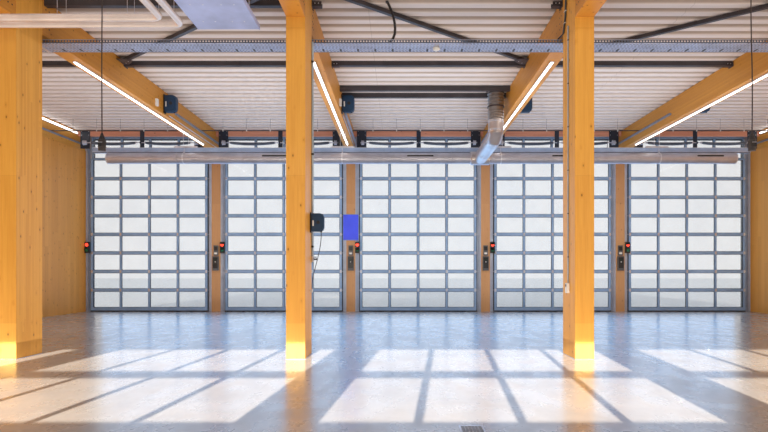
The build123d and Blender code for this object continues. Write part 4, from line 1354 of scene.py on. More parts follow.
@dataclass
class ExtractSystem:
    """The exhaust duct with its branch to the roof, and the rail beside it."""

    hall: Hall
    radius: float = 0.155
    branch: float = 0.19
    elbow_below_beams: float = 0.59
    elbow_cut: float = 0.15
    lean: float = 0.14
    sides: int = 40
    joint_spacing: float = 1.95
    slot_spacing: float = 4.09
    slot_size: Flat = (0.74, 0.045)
    slot_rise: float = 0.045
    first_slot: float = -0.04
    seam_level: float = 5.22
    ribs_from: float = 5.27
    rib_pitch: float = 0.062
    rib_depth: float = 0.026
    sleeve_ribs: int = 5

    def __post_init__(self) -> None:
        """Reads the header's ends and middle line, and the sleeve's place."""
        low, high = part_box("extract_duct")
        self.ends = low[0], high[0]
        self.line = high[1] - self.branch, low[2] + self.branch
        self.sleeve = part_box("duct_sleeve")

    def build(self) -> None:
        """Makes the ducts round and seamed, and dresses the rail."""
        self._header()
        self._branch()
        self._sleeve()
        dress(RAIL_METAL, "extract_rail")
        self._rail_slot()
        dress(ZINC, "duct_hangers")
        self._clamps()

    def _header(self) -> None:
        """Makes the header with its couplings, end caps and slots."""
        (start, end), (y, z) = self.ends, self.line
        piece = Piece("extract_header", DUCT, BLACK_PLASTIC, ZINC)
        profile = [(start, self.radius)]
        count = int((end - start) / self.joint_spacing)
        for k in range(1, count + 1):
            x = start + k * self.joint_spacing
            profile += [(x - 0.014, self.radius), (x - 0.008, self.radius + 0.006), (x + 0.008, self.radius + 0.006),
                        (x + 0.014, self.radius)]
        profile.append((end, self.radius))
        piece.turned(profile, (0, y, z), X, self.sides)
        for x in (start, end):
            piece.rod((-0.012, 0.012), self.radius + 0.006, (x, y, z), X, self.sides, 2)
        length, height = self.slot_size
        reach = sqrt(self.radius**2 - self.slot_rise**2)
        for k in range(-2, 3):
            x = self.first_slot + k * self.slot_spacing
            if abs(x) < end - length:
                piece.block((x, y - reach + 0.004, z + self.slot_rise), (length, 0.02, height), 1)
                lip = z + self.slot_rise + height / 2 + 0.006
                piece.block((x, y - reach - 0.004, lip), (length + 0.03, 0.012, 0.012), 2)
        piece.build("extract_duct", slot_name="galvanised")

    def _branch(self) -> None:
        """Makes the tee, the leaning branch, its segmented elbow and the upright duct."""
        piece = Piece("extract_branch", BRANCH_ZINC, DULL_ZINC, SLEEVE)
        x, offset, _ = middle_of(self.sleeve)
        sleeve_foot = self.sleeve[0][2]
        foot = Vector((x - self.lean, *self.line))
        elbow = Vector((x, offset, self.hall.beam_bottom - self.elbow_below_beams))
        piece.turned([(-0.28, self.radius + 0.004), (-0.26, self.branch), (0.26, self.branch),
                      (0.28, self.radius + 0.004)], foot, X, self.sides)
        along = (elbow - foot).normalized()
        corner = [elbow - along * self.elbow_cut, elbow + Vector((0, 0, self.elbow_cut))]
        top = Vector((x, offset, sleeve_foot))
        directions = (along, (corner[1] - corner[0]).normalized(), Vector((0, 0, 1)))
        route = [foot + along * 0.1]
        for point, before, after in zip(corner, directions, directions[1:]):
            route += [point - before * 0.03, point, point + after * 0.03]
        piece.tube([*route, top], self.branch, self.sides)
        piece.turned([(-0.012, self.branch), (-0.006, self.branch + 0.007), (0.006, self.branch + 0.007),
                      (0.012, self.branch)], (x, offset, self.seam_level), Z, self.sides, 1)
        ribs = []
        for k in range(int((sleeve_foot - self.ribs_from) / self.rib_pitch)):
            level = self.ribs_from + k * self.rib_pitch
            ribs += [(level, self.branch + 0.001), (level + self.rib_pitch * 0.3, self.branch + 0.014),
                     (level + self.rib_pitch * 0.6, self.branch + 0.001)]
        ribs.append((sleeve_foot, self.branch + 0.001))
        piece.turned(ribs, (x, offset, 0), Z, self.sides, 2)
        for middle, way in ((corner[0], along), (corner[1], Vector((0, 0, 1))), (foot.lerp(elbow, 0.35), along)):
            start = middle + (way * 0.004 if way.z > 0.5 else -way * 0.028)
            piece.tube([start, start + way * 0.024], self.branch + 0.006, self.sides, 1)
        piece.build(slot_name="galvanised")

    def _sleeve(self) -> None:
        """Makes the ribbed sleeve and its straps."""
        piece = Piece("ribbed_sleeve", SLEEVE, STEEL_COAT)
        low, high = self.sleeve
        foot = (*middle_of(self.sleeve)[:2], low[2])
        height = high[2] - low[2]
        radius = (high[0] - low[0]) / 2
        inner = radius - self.rib_depth
        profile = [(0.0, inner)]
        for k in range(self.sleeve_ribs):
            base = height * (k + 0.2) / self.sleeve_ribs
            profile += [(base, inner), (base + height * 0.3 / self.sleeve_ribs, radius),
                        (base + height * 0.6 / self.sleeve_ribs, inner)]
        profile.append((height, inner))
        piece.turned(profile, foot, Z, self.sides)
        for level in (0.012, height - 0.03):
            piece.rod((level, level + 0.02), radius + 0.001, foot, Z, self.sides, 1)
        piece.build("duct_sleeve", slot_name="sleeve")

    def _rail_slot(self) -> None:
        """Adds the dark rubber lips in the rail's foot, and the folded edge over them."""
        low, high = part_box("extract_rail")
        piece = Piece("rail_lips", BLACK_PLASTIC, DULL_ZINC)
        piece.box((low[0] + 0.01, low[1] - 0.002, low[2] + 0.004), (high[0] - 0.01, low[1] + 0.004, low[2] + 0.018))
        piece.tube([(low[0], low[1], low[2] + 0.026), (high[0], low[1], low[2] + 0.026)], 0.005, 8, 1)
        piece.tube([(low[0], low[1], high[2] - 0.006), (high[0], low[1], high[2] - 0.006)], 0.005, 8, 1)
        piece.build(slot_name="galvanised")

    def _clamps(self) -> None:
        """Adds the clamps that hold the duct under each beam."""
        y, z = self.line
        piece = Piece("duct_clamps", ZINC)
        for x in self.hall.inner_grid:
            piece.rod((-0.0175, 0.0175), self.radius + 0.003, (x, y, z), X, self.sides)
            piece.block((x, y, z + self.radius + 0.014), (0.035, 0.05, 0.028))
        piece.build(slot_name="galvanised")


@dataclass
class CableTray:
    """The perforated tray behind the middle columns."""

    hole_pitch: float = 0.049
    hole: float = 0.025
    slot_pitch: float = 0.06
    slot_length: float = 0.036
    slot_width: float = 0.016
    slot_rows: int = 8
    support_spacing: float = 0.3
    tab: Point = (0.034, 0.095, 0.004)
    tab_inset: float = 0.09

    def __post_init__(self) -> None:
        """Reads the tray's corners."""
        self.low, self.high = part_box("cable_tray")

    def build(self) -> None:
        """Makes the tray with its holes, and its stirrups' finish."""
        low, high = self.low, self.high
        piece = Piece("perforated_tray", TRAY_ZINC, STEEL_COAT, SPRING_STEEL)
        self._perforated(piece, Z, (low[1], high[1]), low[2] + self.tab[2], self.slot_rows, self.slot_pitch,
                         (self.slot_length, self.slot_width))
        for y in (low[1], high[1]):
            self._perforated(piece, Y, (low[2], high[2]), y, 1, self.hole_pitch, (self.hole, self.hole), 2)
            piece.tube([(low[0], y, high[2] - 0.004), (high[0], y, high[2] - 0.004)], 0.004, 6)
        for y in (low[1] + 0.004, high[1] - 0.004):
            piece.tube([(low[0], y, low[2] + 0.004), (high[0], y, low[2] + 0.004)], 0.004, 6)
        count = int((high[0] - low[0]) / self.support_spacing)
        for k in range(count):
            x = low[0] + (k + 0.5) * self.support_spacing
            piece.box((x - 0.006, low[1] + 0.01, low[2] + 0.006), (x + 0.006, high[1] - 0.01, low[2] + 0.014), 1)
            piece.block((x, high[1] - self.tab_inset, low[2] + self.tab[2] / 2), self.tab, 1)
        self._cables(piece)
        piece.build("cable_tray", slot_name="galvanised")
        dress(ZINC, "tray_stirrups")

    def _perforated(self, piece: Piece, normal: Axis, across: Flat, level: float, rows: int, pitch: float,
                    hole: Flat, slot: int = 0) -> None:
        """Adds a flat sheet with rows of holes, as long as the tray.

        Args:
            piece: what it is added to.
            normal: the axis that it faces along, Y or Z.
            across: its low and high edge in the third axis.
            level: where it lies on its normal.
            rows: how many rows of holes it has.
            pitch: how far apart the holes of a row are.
            hole: a hole's length and width.
            slot: which finish it has.
        """
        left, length = self.low[0], self.high[0] - self.low[0]
        columns = int(length / pitch)
        step = length / columns
        height = (across[1] - across[0]) / rows
        third = Y if normal == Z else Z
        points, faces = [], []
        for row, column in product(range(rows), range(columns)):
            stagger = 0.5 * (pitch - hole[0]) * (0.6 if row % 2 else -0.6)
            x0, x1 = left + column * step, left + (column + 1) * step
            a0, a1 = across[0] + row * height, across[0] + (row + 1) * height
            hx, ha = (x0 + x1) / 2 + stagger, (a0 + a1) / 2
            h0, h1, b0, b1 = hx - hole[0] / 2, hx + hole[0] / 2, ha - hole[1] / 2, ha + hole[1] / 2
            start = len(points)
            for x, a in ((x0, a0), (x1, a0), (x1, a1), (x0, a1), (h0, b0), (h1, b0), (h1, b1), (h0, b1)):
                point = [x, 0.0, 0.0]
                point[third], point[normal] = a, level
                points.append(point)
            faces += [(start + i, start + (i + 1) % 4, start + (i + 1) % 4 + 4, start + i + 4) for i in range(4)]
        piece.add(points, faces, slot)

    def _cables(self, piece: Piece) -> None:
        """Lays a few cables in the tray.

        Args:
            piece: what it is added to.
        """
        rng = random.Random(5)
        low, high = self.low, self.high
        for k in range(4):
            y = low[1] + 0.09 + k * 0.06
            path = []
            x = low[0]
            while x < high[0]:
                path.append((x, y + rng.uniform(-0.012, 0.012), low[2] + 0.022))
                x += 0.75
            path.append((high[0], y, low[2] + 0.022))
            piece.tube(path, 0.0075, 6, 1)


@dataclass
class Heating:
    """The pair of jacketed pipes, the radiant panel and what they hang from."""

    radius: float = 0.05
    spacing: float = 0.21
    bend: float = 0.1
    collar_spacing: float = 1.0

    def build(self) -> None:
        """Makes the pipes round, and dresses the panel and its hangers."""
        low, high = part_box("heating_pipes")
        piece = Piece("jacketed_pipes", PIPE_JACKET, ZINC)
        z = (low[2] + high[2]) / 2
        for index in (0, 1):
            y = high[1] - self.radius - index * self.spacing
            x = high[0] - self.radius - index * self.spacing
            corner = [
                (x - self.bend + self.bend * sin(t), y - self.bend + self.bend * cos(t), z)
                for t in (pi / 2 * k / 6 for k in range(7))
            ]
            piece.tube([(low[0], y, z), *corner, (x, low[1], z)], self.radius, 20)
            spans = [(X, low[0], x - 2 * self.bend, (0, y, z)), (Y, low[1], y - 2 * self.bend, (x, 0, z))]
            for axis, start, end, origin in spans:
                for k in range(1, int((end - start) / self.collar_spacing) + 1):
                    along = start + k * self.collar_spacing
                    piece.rod((along - 0.012, along + 0.012), self.radius + 0.0015, origin, axis, 20)
            piece.rod((-0.004, 0.02), self.radius + 0.006, (x, low[1], z), Y, 20, 1)
        piece.build("heating_pipes", slot_name="pipe_jacket")
        dress(PALE_PANEL, "radiant_panel")
        dress(ZINC, "heating_hangers")
        self._screws()

    def _screws(self) -> None:
        """Adds the panel's screws and the beads along its edges."""
        low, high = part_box("radiant_panel")
        piece = Piece("panel_screws", ZINC, PALE_PANEL)
        rows = 12
        for x in (low[0] + 0.16, (low[0] + high[0]) / 2 - 0.12, (low[0] + high[0]) / 2 + 0.12, high[0] - 0.16):
            for k in range(rows):
                y = low[1] + (k + 0.5) * (high[1] - low[1]) / rows
                piece.turned([(-0.003, 0.006), (0.0, 0.011)], (x, y, low[2]), Z, 8)
        for x in (low[0] + 0.008, high[0] - 0.008):
            piece.tube([(x, low[1], low[2]), (x, high[1], low[2])], 0.007, 6, 1)
        piece.build()


@dataclass
class CableRail:
    """The black rails near the back doors, with their white clips."""

    hall: Hall
    clip_spacing: float = 0.71

    def build(self) -> None:
        """Dresses the rails and adds the clips."""
        dress(STEEL_COAT, "cable_rails")
        low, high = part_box("cable_rails")
        y, z = (low[1] + high[1]) / 2, low[2] + 0.013
        piece = Piece("rail_clips", WHITE_PLASTIC, ZINC)
        count = int(2 * self.hall.half_clear / self.clip_spacing)
        for k in range(count):
            x = (k - (count - 1) / 2) * self.clip_spacing
            piece.rod((-0.014, 0.014), 0.019, (x, y, z), X, 10)
            piece.block((x, y, z + 0.03), (0.02, 0.016, 0.03))
            piece.rod((z + 0.04, self.hall.beam_top + 0.002), 0.003, (x, y, 0), Z, 6, 1)
        piece.copies(self.hall.bays()).build()


@dataclass
class Lights:
    """The light strips under the beams and along the end walls."""

    hall: Hall
    width: float = 0.07
    height: float = 0.055
    lip: float = 0.005
    web: float = 0.02
    depth: float = 0.028
    diffuser: float = 0.044
    bulge: float = 0.034
    start: float = 1.5
    length: float = 6.9
    wall_start: float = 3.28

    def build(self) -> None:
        """Makes each strip's housing and diffuser."""
        hall = self.hall
        _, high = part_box("beam_lights")
        piece = Piece("light_strips", DULL_ZINC, LED)
        top = hall.beam_bottom
        for x, side in product(hall.inner_grid, (-1, 1)):
            self._strip(piece, x, top, sorted((side * self.start, side * (self.start + self.length))))
        wall_z = high[2] - self.width / 2
        end_face = hall.grid[-1] - hall.timber / 2
        for end, side in product((-1, 1), (-1, 1)):
            low_y, high_y = sorted((side * self.wall_start, side * high[1]))
            face = end * end_face
            cover = face - end * 0.03
            piece.box((face, low_y, wall_z - self.width / 2), (cover, high_y, wall_z + self.width / 2))
            piece.box((cover, low_y + 0.02, wall_z - 0.022),
                      (face - end * self.height, high_y - 0.02, wall_z + 0.022), 1)
        piece.build("beam_lights", slot_name="light_strip")

    def _strip(self, piece: Piece, x: float, top: float, ends: Row) -> None:
        """Adds one strip under a beam: a channel with lips and a rounded diffuser.

        Args:
            piece: what it is added to.
            x: its middle.
            top: the beam's foot.
            ends: where it starts and ends.
        """
        half = self.width / 2
        inner = half - self.lip
        foot, web = top - self.depth, top - self.web
        housing = [(top, x - half), (top, x + half), (foot, x + half), (foot, x + inner), (web, x + inner),
                   (web, x - inner), (foot, x - inner), (foot, x - half)]
        piece.prism(housing, Y, *ends)
        round_part = [
            (web - self.bulge * sin(t), x - self.diffuser / 2 * cos(t))
            for t in (pi * k / 8 for k in range(9))
        ]
        piece.prism(round_part, Y, ends[0] + 0.02, ends[1] - 0.02, 1)


# Fittings


@dataclass
class HoseReels:
    """The reels on the beams and on the third column, with their feed pipes."""

    hall: Hall
    height: float = 0.43
    reach: float = 0.33
    width: float = 0.18
    bracket: float = 0.03
    chamfer: float = 0.09
    outlet_before_nose: float = 0.072
    outlet_drop: float = 0.01
    offset: float = 5.15
    above_beam_foot: float = 0.27
    column_height: float = 0.30
    column_offset: float = 0.176
    column_level: float = 2.17
    switch_offset: float = 0.48

    def build(self) -> None:
        """Makes the reels in place of their plain housings."""
        hall = self.hall
        piece = Piece("reel_housings", REEL_SHELL, BLACK_PLASTIC, WHITE_PLASTIC)
        for x in hall.inner_grid:
            face = x + hall.timber / 2
            self._reel(piece, face, self.offset, hall.beam_bottom + self.above_beam_foot, self.height)
        self._reel(piece, hall.grid[2] + hall.timber / 2, self.column_offset, hall.floor + self.column_level,
                   self.column_height)
        piece.build("hose_reels", bevel=0.004, slot_name="reel_housing")
        self._feeds()

    def _reel(self, piece: Piece, face: float, y: float, z: float, height: float) -> None:
        """Adds one reel: bracket, shell with cut corners and raised sides, hub, plate and outlet.

        Args:
            piece: what it is added to.
            face: the face that it is screwed to.
            y: its middle.
            z: its middle's level.
            height: how high its shell is.
        """
        scale = height / self.height
        reach, width, bracket = self.reach * scale, self.width * scale, self.bracket * scale
        half_height = height / 2
        piece.box((face, y - width / 3, z - 0.55 * height), (face + bracket, y + width / 3, z + 0.55 * height), 1)
        for inset, half in ((0.0, 0.36 * width), (0.014 * scale, 0.5 * width)):
            back, nose, top = face + bracket + inset, face + reach - inset, half_height - inset
            cut = self.chamfer * scale
            soft = cut * 0.3
            upper = [(nose, top - cut), (nose - soft, top - soft * 1.1), (nose - cut, top), (back + cut / 3, top),
                     (back, top - cut / 3)]
            outline = [(x, z + rise) for x, rise in upper] + [(x, z - rise) for x, rise in reversed(upper)]
            piece.prism([(b, a) for a, b in reversed(outline)], Y, y - half, y + half)
        hub = face + reach * 0.6
        piece.rod((-0.5 * width - 0.006, 0.5 * width + 0.006), 0.042 * scale, (hub, y, z), Y, 20, 1)
        piece.block((face + bracket + 0.05 * scale, y - 0.5 * width - 0.002, z - 0.02 * scale),
                    (0.032 * scale, 0.006, 0.13 * scale), 2)
        outlet = face + reach - self.outlet_before_nose * scale
        piece.turned([(-self.outlet_drop, 0.011), (-0.002, 0.016), (0.035 * scale, 0.024 * scale)],
                     (outlet, y, z - half_height), Z, 16, 1)

    def _feeds(self) -> None:
        """Adds the feed pipe along each beam from the back wall to its reel, and the box beside the reel."""
        hall = self.hall
        piece = Piece("reel_feed_pipes", ZINC, WHITE_PLASTIC)
        level = hall.beam_bottom + 0.045
        for x in hall.inner_grid:
            face = x + hall.timber / 2 + 0.016
            piece.tube([(face, hall.post_inner - 0.03, level), (face, self.offset + 0.25, level)], 0.011, 8)
            for k in range(4):
                piece.block((face - 0.002, self.offset + 0.45 + k * 1.25, level), (0.03, 0.02, 0.03))
            box = (self.offset - self.switch_offset, hall.beam_bottom + self.above_beam_foot - 0.1)
            piece.block((face + 0.009, *box), (0.05, 0.09, 0.17), 1)
            piece.block((face + 0.036, box[0], box[1] + 0.03), (0.006, 0.05, 0.06), 1)
        piece.build()


@dataclass
class ColumnFittings:
    """The air pipe and hose clip of the third column, and the conduit, socket and cables of the fourth."""

    hall: Hall
    pipe: float = 0.018
    pipe_foot: float = 1.52
    clip_spacing: float = 1.54
    hose_offset: float = 0.176
    hose_reach: float = 0.029
    hose_foot: float = 1.07
    socket_level: float = 1.1

    def build(self) -> None:
        """Makes the pipes round, with clips, valve, socket lid and cables."""
        hall = self.hall
        piece = Piece("column_pipes", BLUE_GREY_PIPE, BLACK_PLASTIC, WHITE_PLASTIC, ZINC)
        face = hall.grid[2] + hall.timber / 2
        x, y = face + self.pipe, hall.half_column - self.pipe
        bottom = hall.floor + self.pipe_foot
        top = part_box("cable_tray")[0][2] - 0.005
        piece.rod((bottom, top), self.pipe, (x, y, 0), Z, 16)
        piece.turned([(bottom, 0.012), (bottom + 0.01, 0.024), (bottom + 0.09, 0.024), (bottom + 0.1, self.pipe)],
                     (x, y, 0), Z, 16, 3)
        piece.turned([(0.0, 0.013), (0.06, 0.013), (0.062, 0.02), (0.072, 0.02)], (x, y, bottom + 0.05), X, 12, 1)
        piece.block((x + 0.045, y, bottom + 0.085), (0.05, 0.012, 0.014), 1)
        for k in range(3):
            z = hall.beam_bottom - 0.47 - k * self.clip_spacing
            piece.rod((-0.016, 0.016), self.pipe + 0.0045, (x, y, z), Z, 16, 1)
            piece.block((face + 0.005, y - 0.012, z), (0.01, 0.05, 0.032), 1)
        self._hose_clip(piece, face)
        self._socket(piece)
        piece.build("column_fittings", bevel=0.0015, slot_name="grey_pipe")
        self._bundle()

    def _hose_clip(self, piece: Piece, face: float) -> None:
        """Adds the clip that the reel's hose ends in: a back plate, a ring round a socket, and two screws.

        Args:
            piece: what it is added to.
            face: the column's face.
        """
        y, top = self.hose_offset, self.hall.floor + self.hose_foot
        x = face + self.hose_reach
        piece.block((face + 0.003, y, top - 0.025), (0.006, 0.03, 0.05), 3)
        piece.block((face + 0.012, y, top - 0.025), (0.014, 0.014, 0.022), 3)
        piece.turned([(-0.05, 0.008), (-0.046, 0.0105), (-0.036, 0.0105), (-0.034, 0.0135), (-0.014, 0.0135),
                      (-0.012, 0.0105), (-0.004, 0.0105), (-0.001, 0.0085)], (x, y, top), Z, 20, 3)
        for rise in (0.007, 0.043):
            piece.turned([(0.005, 0.0045), (0.0085, 0.003)], (face, y, top - rise), X, 8, 1)

    def _socket(self, piece: Piece) -> None:
        """Adds the conduit and its socket box.

        Args:
            piece: what it is added to.
        """
        hall = self.hall
        face = hall.grid[3] - hall.timber / 2
        z = hall.floor + self.socket_level
        piece.rod((z, hall.beam_bottom), 0.011, (face - 0.011, 0, 0), Z, 10)
        piece.block((face - 0.0225, 0, z), (0.045, 0.08, 0.16), 2)
        piece.block((face - 0.047, 0, z - 0.035), (0.006, 0.062, 0.062), 2)
        piece.turned([(-0.052, 0.02), (-0.049, 0.022)], (face, 0, z + 0.04), X, 16, 1)
        for k in range(6):
            piece.block((face - 0.011, 0, z + 0.5 + 0.7 * k), (0.024, 0.032, 0.014), 1)

    def _bundle(self) -> None:
        """Adds the cables tied down the fourth column's side, and the bent conduit from the deck to the tray."""
        hall = self.hall
        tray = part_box("cable_tray")
        piece = Piece("column_cables", BLACK_PLASTIC, GREY_PLASTIC, WHITE_PLASTIC)
        face = hall.grid[3] - hall.timber / 2
        for k in range(5):
            x = face - 0.012 - 0.006 * (k % 2)
            y = 0.2 + 0.014 * k
            piece.tube([(x, y - 0.12, hall.beam_top - 0.05), (x, y - 0.08, hall.beam_bottom + 0.2),
                        (x, y + 0.03, hall.beam_bottom - 0.02), (x - 0.05, tray[0][1] + 0.03 + 0.02 * k,
                                                                 tray[1][2] + 0.02)], 0.0065, 6, k % 2)
        ties = ((hall.beam_top - 0.1, 0.115), (hall.beam_bottom + 0.3, 0.14), (hall.beam_bottom + 0.12, 0.18))
        for level, y in ties:
            piece.block((face - 0.013, y, level), (0.028, 0.085, 0.008), 2)
        route = [(-0.842, 6.028), (-0.80, 5.94), (-0.762, 5.85), (-0.732, 5.76), (-0.714, 5.67), (-0.706, 5.58),
                 (-0.712, 5.49), (-0.742, 5.41), (-0.79, 5.355)]
        line = [(x, tray[0][1] + 0.05 + 0.006 * k, z) for k, (x, z) in enumerate(route)]
        piece.tube(line, 0.0215, 14)
        piece.rod((-0.03, 0.0), 0.027, line[0], Z, 14)
        piece.build()


@dataclass
class WallFittings:
    """The notice board, door controls, handsets, signals and the detector."""

    hall: Hall

    def build(self) -> None:
        """Makes the fittings in place of their plain boxes."""
        hall = self.hall
        piece = Piece("wall_fitting_boxes", GREY_PLASTIC, BLACK_PLASTIC, BOARD, WHITE_PLASTIC, RED_LAMP, GREEN_LAMP,
                      RAIL_METAL)
        self._board(piece, hall.grid[2], hall.floor + 2.815)
        for x in hall.inner_grid:
            self._controls(piece, x, hall.floor + 1.61)
        for x in hall.bay_middles:
            self._signal(piece, x - hall.half_clear + 0.075, hall.floor + 2.14)
        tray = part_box("cable_tray")
        middle = (tray[0][1] + tray[1][1]) / 2
        piece.turned([(-0.05, 0.028), (-0.046, 0.045), (-0.03, 0.06), (0.0, 0.06)], (0, middle, tray[0][2]), Z, 24, 3)
        piece.build("wall_fittings", bevel=0.003, slot_name="grey_pipe")

    def _board(self, piece: Piece, x: float, z: float) -> None:
        """Adds the bare notice board with its frame.

        Args:
            piece: what it is added to.
            x: its middle.
            z: its middle's level.
        """
        face = self.hall.post_inner
        piece.block((x, face - 0.008, z), (0.51, 0.016, 0.85), 2)
        piece.frame((z - 0.435, z + 0.435, x - 0.265, x + 0.265), 0.014, Y, face - 0.025, face, 6)

    def _controls(self, piece: Piece, x: float, z: float) -> None:
        """Adds a control box with three buttons, and the handset box above it.

        Args:
            piece: what it is added to.
            x: the box's middle.
            z: its middle's level.
        """
        face = self.hall.post_inner
        piece.block((x, face - 0.04, z), (0.2, 0.08, 0.48))
        piece.block((x, face - 0.084, z + 0.02), (0.16, 0.008, 0.36), 1)
        for k, slot in enumerate((5, 3, 1)):
            piece.turned([(-0.105, 0.016), (-0.088, 0.018)], (x, face, z + 0.12 - 0.07 * k), Y, 16, slot)
        base = z + 0.24 + 0.02
        piece.block((x, face - 0.02, base + 0.17), (0.15, 0.04, 0.34))
        piece.block((x, face - 0.044, base + 0.235), (0.11, 0.008, 0.13), 1)
        piece.block((x, face - 0.044, base + 0.075), (0.09, 0.008, 0.06), 3)

    def _signal(self, piece: Piece, x: float, z: float) -> None:
        """Adds a two-lamp signal with hoods.

        Args:
            piece: what it is added to.
            x: its middle.
            z: its middle's level.
        """
        face = self.hall.post_inner
        piece.block((x, face - 0.045, z), (0.15, 0.09, 0.37), 1)
        for level, slot in ((z + 0.09, 4), (z - 0.09, 5)):
            piece.turned([(-0.108, 0.035), (-0.1, 0.052), (-0.088, 0.058)], (x, face, level), Y, 24, slot)
            hood = [(cos(t), sin(t)) for t in (pi * k / 12 for k in range(13))]
            outline = [(level + 0.068 * b, x + 0.068 * a) for a, b in hood]
            outline += [(level + 0.063 * b, x + 0.063 * a) for a, b in reversed(hood)]
            piece.prism(outline, Y, face - 0.12, face - 0.088, 1)


# Free lines


@dataclass
class Cords:
    """The free lines: the hose of the column's reel, and the two hanging leads with their roses and connectors."""

    hose_radius: float = 0.006
    hose_length: float = 0.957
    hose_places: tuple[Point, ...] = (
        (-1.92, 0.176, 2.11), (-1.92, 0.176, 2.01), (-1.936, 0.171, 1.872), (-1.966, 0.167, 1.724),
        (-2.002, 0.165, 1.578), (-2.038, 0.166, 1.453), (-2.061, 0.171, 1.345), (-2.071, 0.176, 1.25),
        (-2.071, 0.176, 1.17),
    )
    lead_radius: float = 0.007
    lead_length: float = 2.8
    lead_offset: float = -1.8875
    lead_places: tuple[tuple[str, tuple[Flat, ...]], ...] = (
        ("left", ((-4.427, 5.99), (-4.427, 5.55), (-4.425, 5.0), (-4.429, 4.4), (-4.43, 3.8), (-4.427, 3.4),
                  (-4.427, 3.19))),
        ("right", ((3.861, 5.99), (3.857, 5.55), (3.847, 4.95), (3.851, 4.5), (3.864, 4.05), (3.866, 3.6),
                   (3.861, 3.19))),
    )
    core_top: float = 3.21
    grip_length: float = 0.06
    body_radius: float = 0.045
    rose_radius: float = 0.045
    rose_height: float = 0.04

    def build(self) -> None:
        hose = self._line("column_reel_hose", self.hose_places, self.hose_radius, HOSE)
        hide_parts("reel_hose")
        roses = Piece("lead_roses", GREY_PLASTIC, BLACK_PLASTIC)
        for side, places in self.lead_places:
            route = [(x, self.lead_offset, z) for x, z in places]
            lead = self._line(f"{side}_hanging_lead", route, self.lead_radius, LEAD)
            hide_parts(f"{side}_pendant_cable")
            connector = self._connector(side, Vector((*route[-1][:2], self.core_top)))
            self._rose(roses, route[0])
        roses.build("pendant_roses", slot_name="grey_pipe")

    @staticmethod
    def _line(name: str, places: Sequence[Point], radius: float, finish: Finish) -> Object:
        """Makes a round line that is drawn towards its chosen places.

        Args:
            name: its name.
            places: where it is led, from its exit to its far end.
            radius: its radius.
            finish: its finish.

        Returns:
            The curve, riding on the hall.
        """
        data = bpy.data.curves.new(name, "CURVE")
        data.dimensions, data.use_fill_caps = "3D", True
        data.bevel_depth, data.bevel_resolution, data.resolution_u = radius, 4, 16
        data.materials.append(finish.material())
        spline = data.splines.new("NURBS")
        spline.points.add(len(places) - 1)
        for point, place in zip(spline.points, places):
            point.co = (*place, 1.0)
        spline.order_u = 3
        spline.use_endpoint_u = True
        made = new_object(name, data)
        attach(made, BODY)
        log.info("%s: a line through %d places", name, len(places))
        return made

    def _connector(self, side: str, top: Point) -> list[Object]:
        """Adds a lead's connector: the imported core, with a ribbed boot, rings, grip ridges and a hinged lid on it.

        Args:
            side: which lead it is on, left or right.
            top: where the lead enters the core.

        Returns:
            The fine piece and the core.
        """
        node = f"{side}_pendant_connector"
        dress(CONNECTOR, node)
        piece = Piece(f"{side}_connector_grip", CONNECTOR, BLACK_PLASTIC, ZINC)
        boot = [(-self.grip_length, self.body_radius - 0.002)]
        for k in range(5):
            along = -self.grip_length + 0.006 + 0.011 * k
            radius = self.body_radius - 0.006 - 0.0042 * k
            boot += [(along, radius), (along + 0.005, radius), (along + 0.0065, radius - 0.003)]
        boot += [(0.001, 0.0208), (0.012, 0.016), (0.026, 0.0095)]
        piece.turned(boot, top, Z, 28, 1)
        for along, height, proud in ((-self.grip_length - 0.01, 0.01, 0.003), (-0.143, 0.006, 0.002),
                                     (-0.158, 0.012, 0.005)):
            radius = self.body_radius + proud
            piece.turned([(along, radius - 0.0015), (along + 0.002, radius), (along + height - 0.002, radius),
                          (along + height, radius - 0.0015)], top, Z, 32)
        x, y, z = top
        for k in range(12):
            angle = tau * (k + 0.5) / 12
            reach = self.body_radius * cos(pi / 12)
            piece.block((x + reach * cos(angle), y + reach * sin(angle), z - 0.106), (0.006, 0.006, 0.066), 1)
        piece.block((x, y - self.body_radius - 0.003, z - 0.128), (0.046, 0.008, 0.05), 1)
        piece.rod((-0.027, 0.027), 0.004, (x, y - self.body_radius - 0.004, z - 0.1), X, 10, 2)
        return [piece.build(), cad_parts[node]]

    def _rose(self, piece: Piece, foot: Point) -> None:
        """Adds the rose that a lead hangs from: a stepped cover, two screws and a tapered strain relief.

        Args:
            piece: what it is added to.
            foot: where the lead leaves it.
        """
        radius = self.rose_radius
        piece.turned([(0.0, 0.4 * radius), (0.004, 0.62 * radius), (0.01, 0.86 * radius), (0.02, radius),
                      (self.rose_height, radius)], foot, Z, 32)
        piece.turned([(-0.028, 0.0085), (-0.012, 0.0105), (0.001, 0.0135)], foot, Z, 20, 1)
        for side in (-1, 1):
            screw = (foot[0] + side * 0.6 * radius, foot[1], foot[2] + 0.005)
            piece.turned([(-0.003, 0.0035), (0.001, 0.0045)], screw, Z, 10, 1)


# Studio


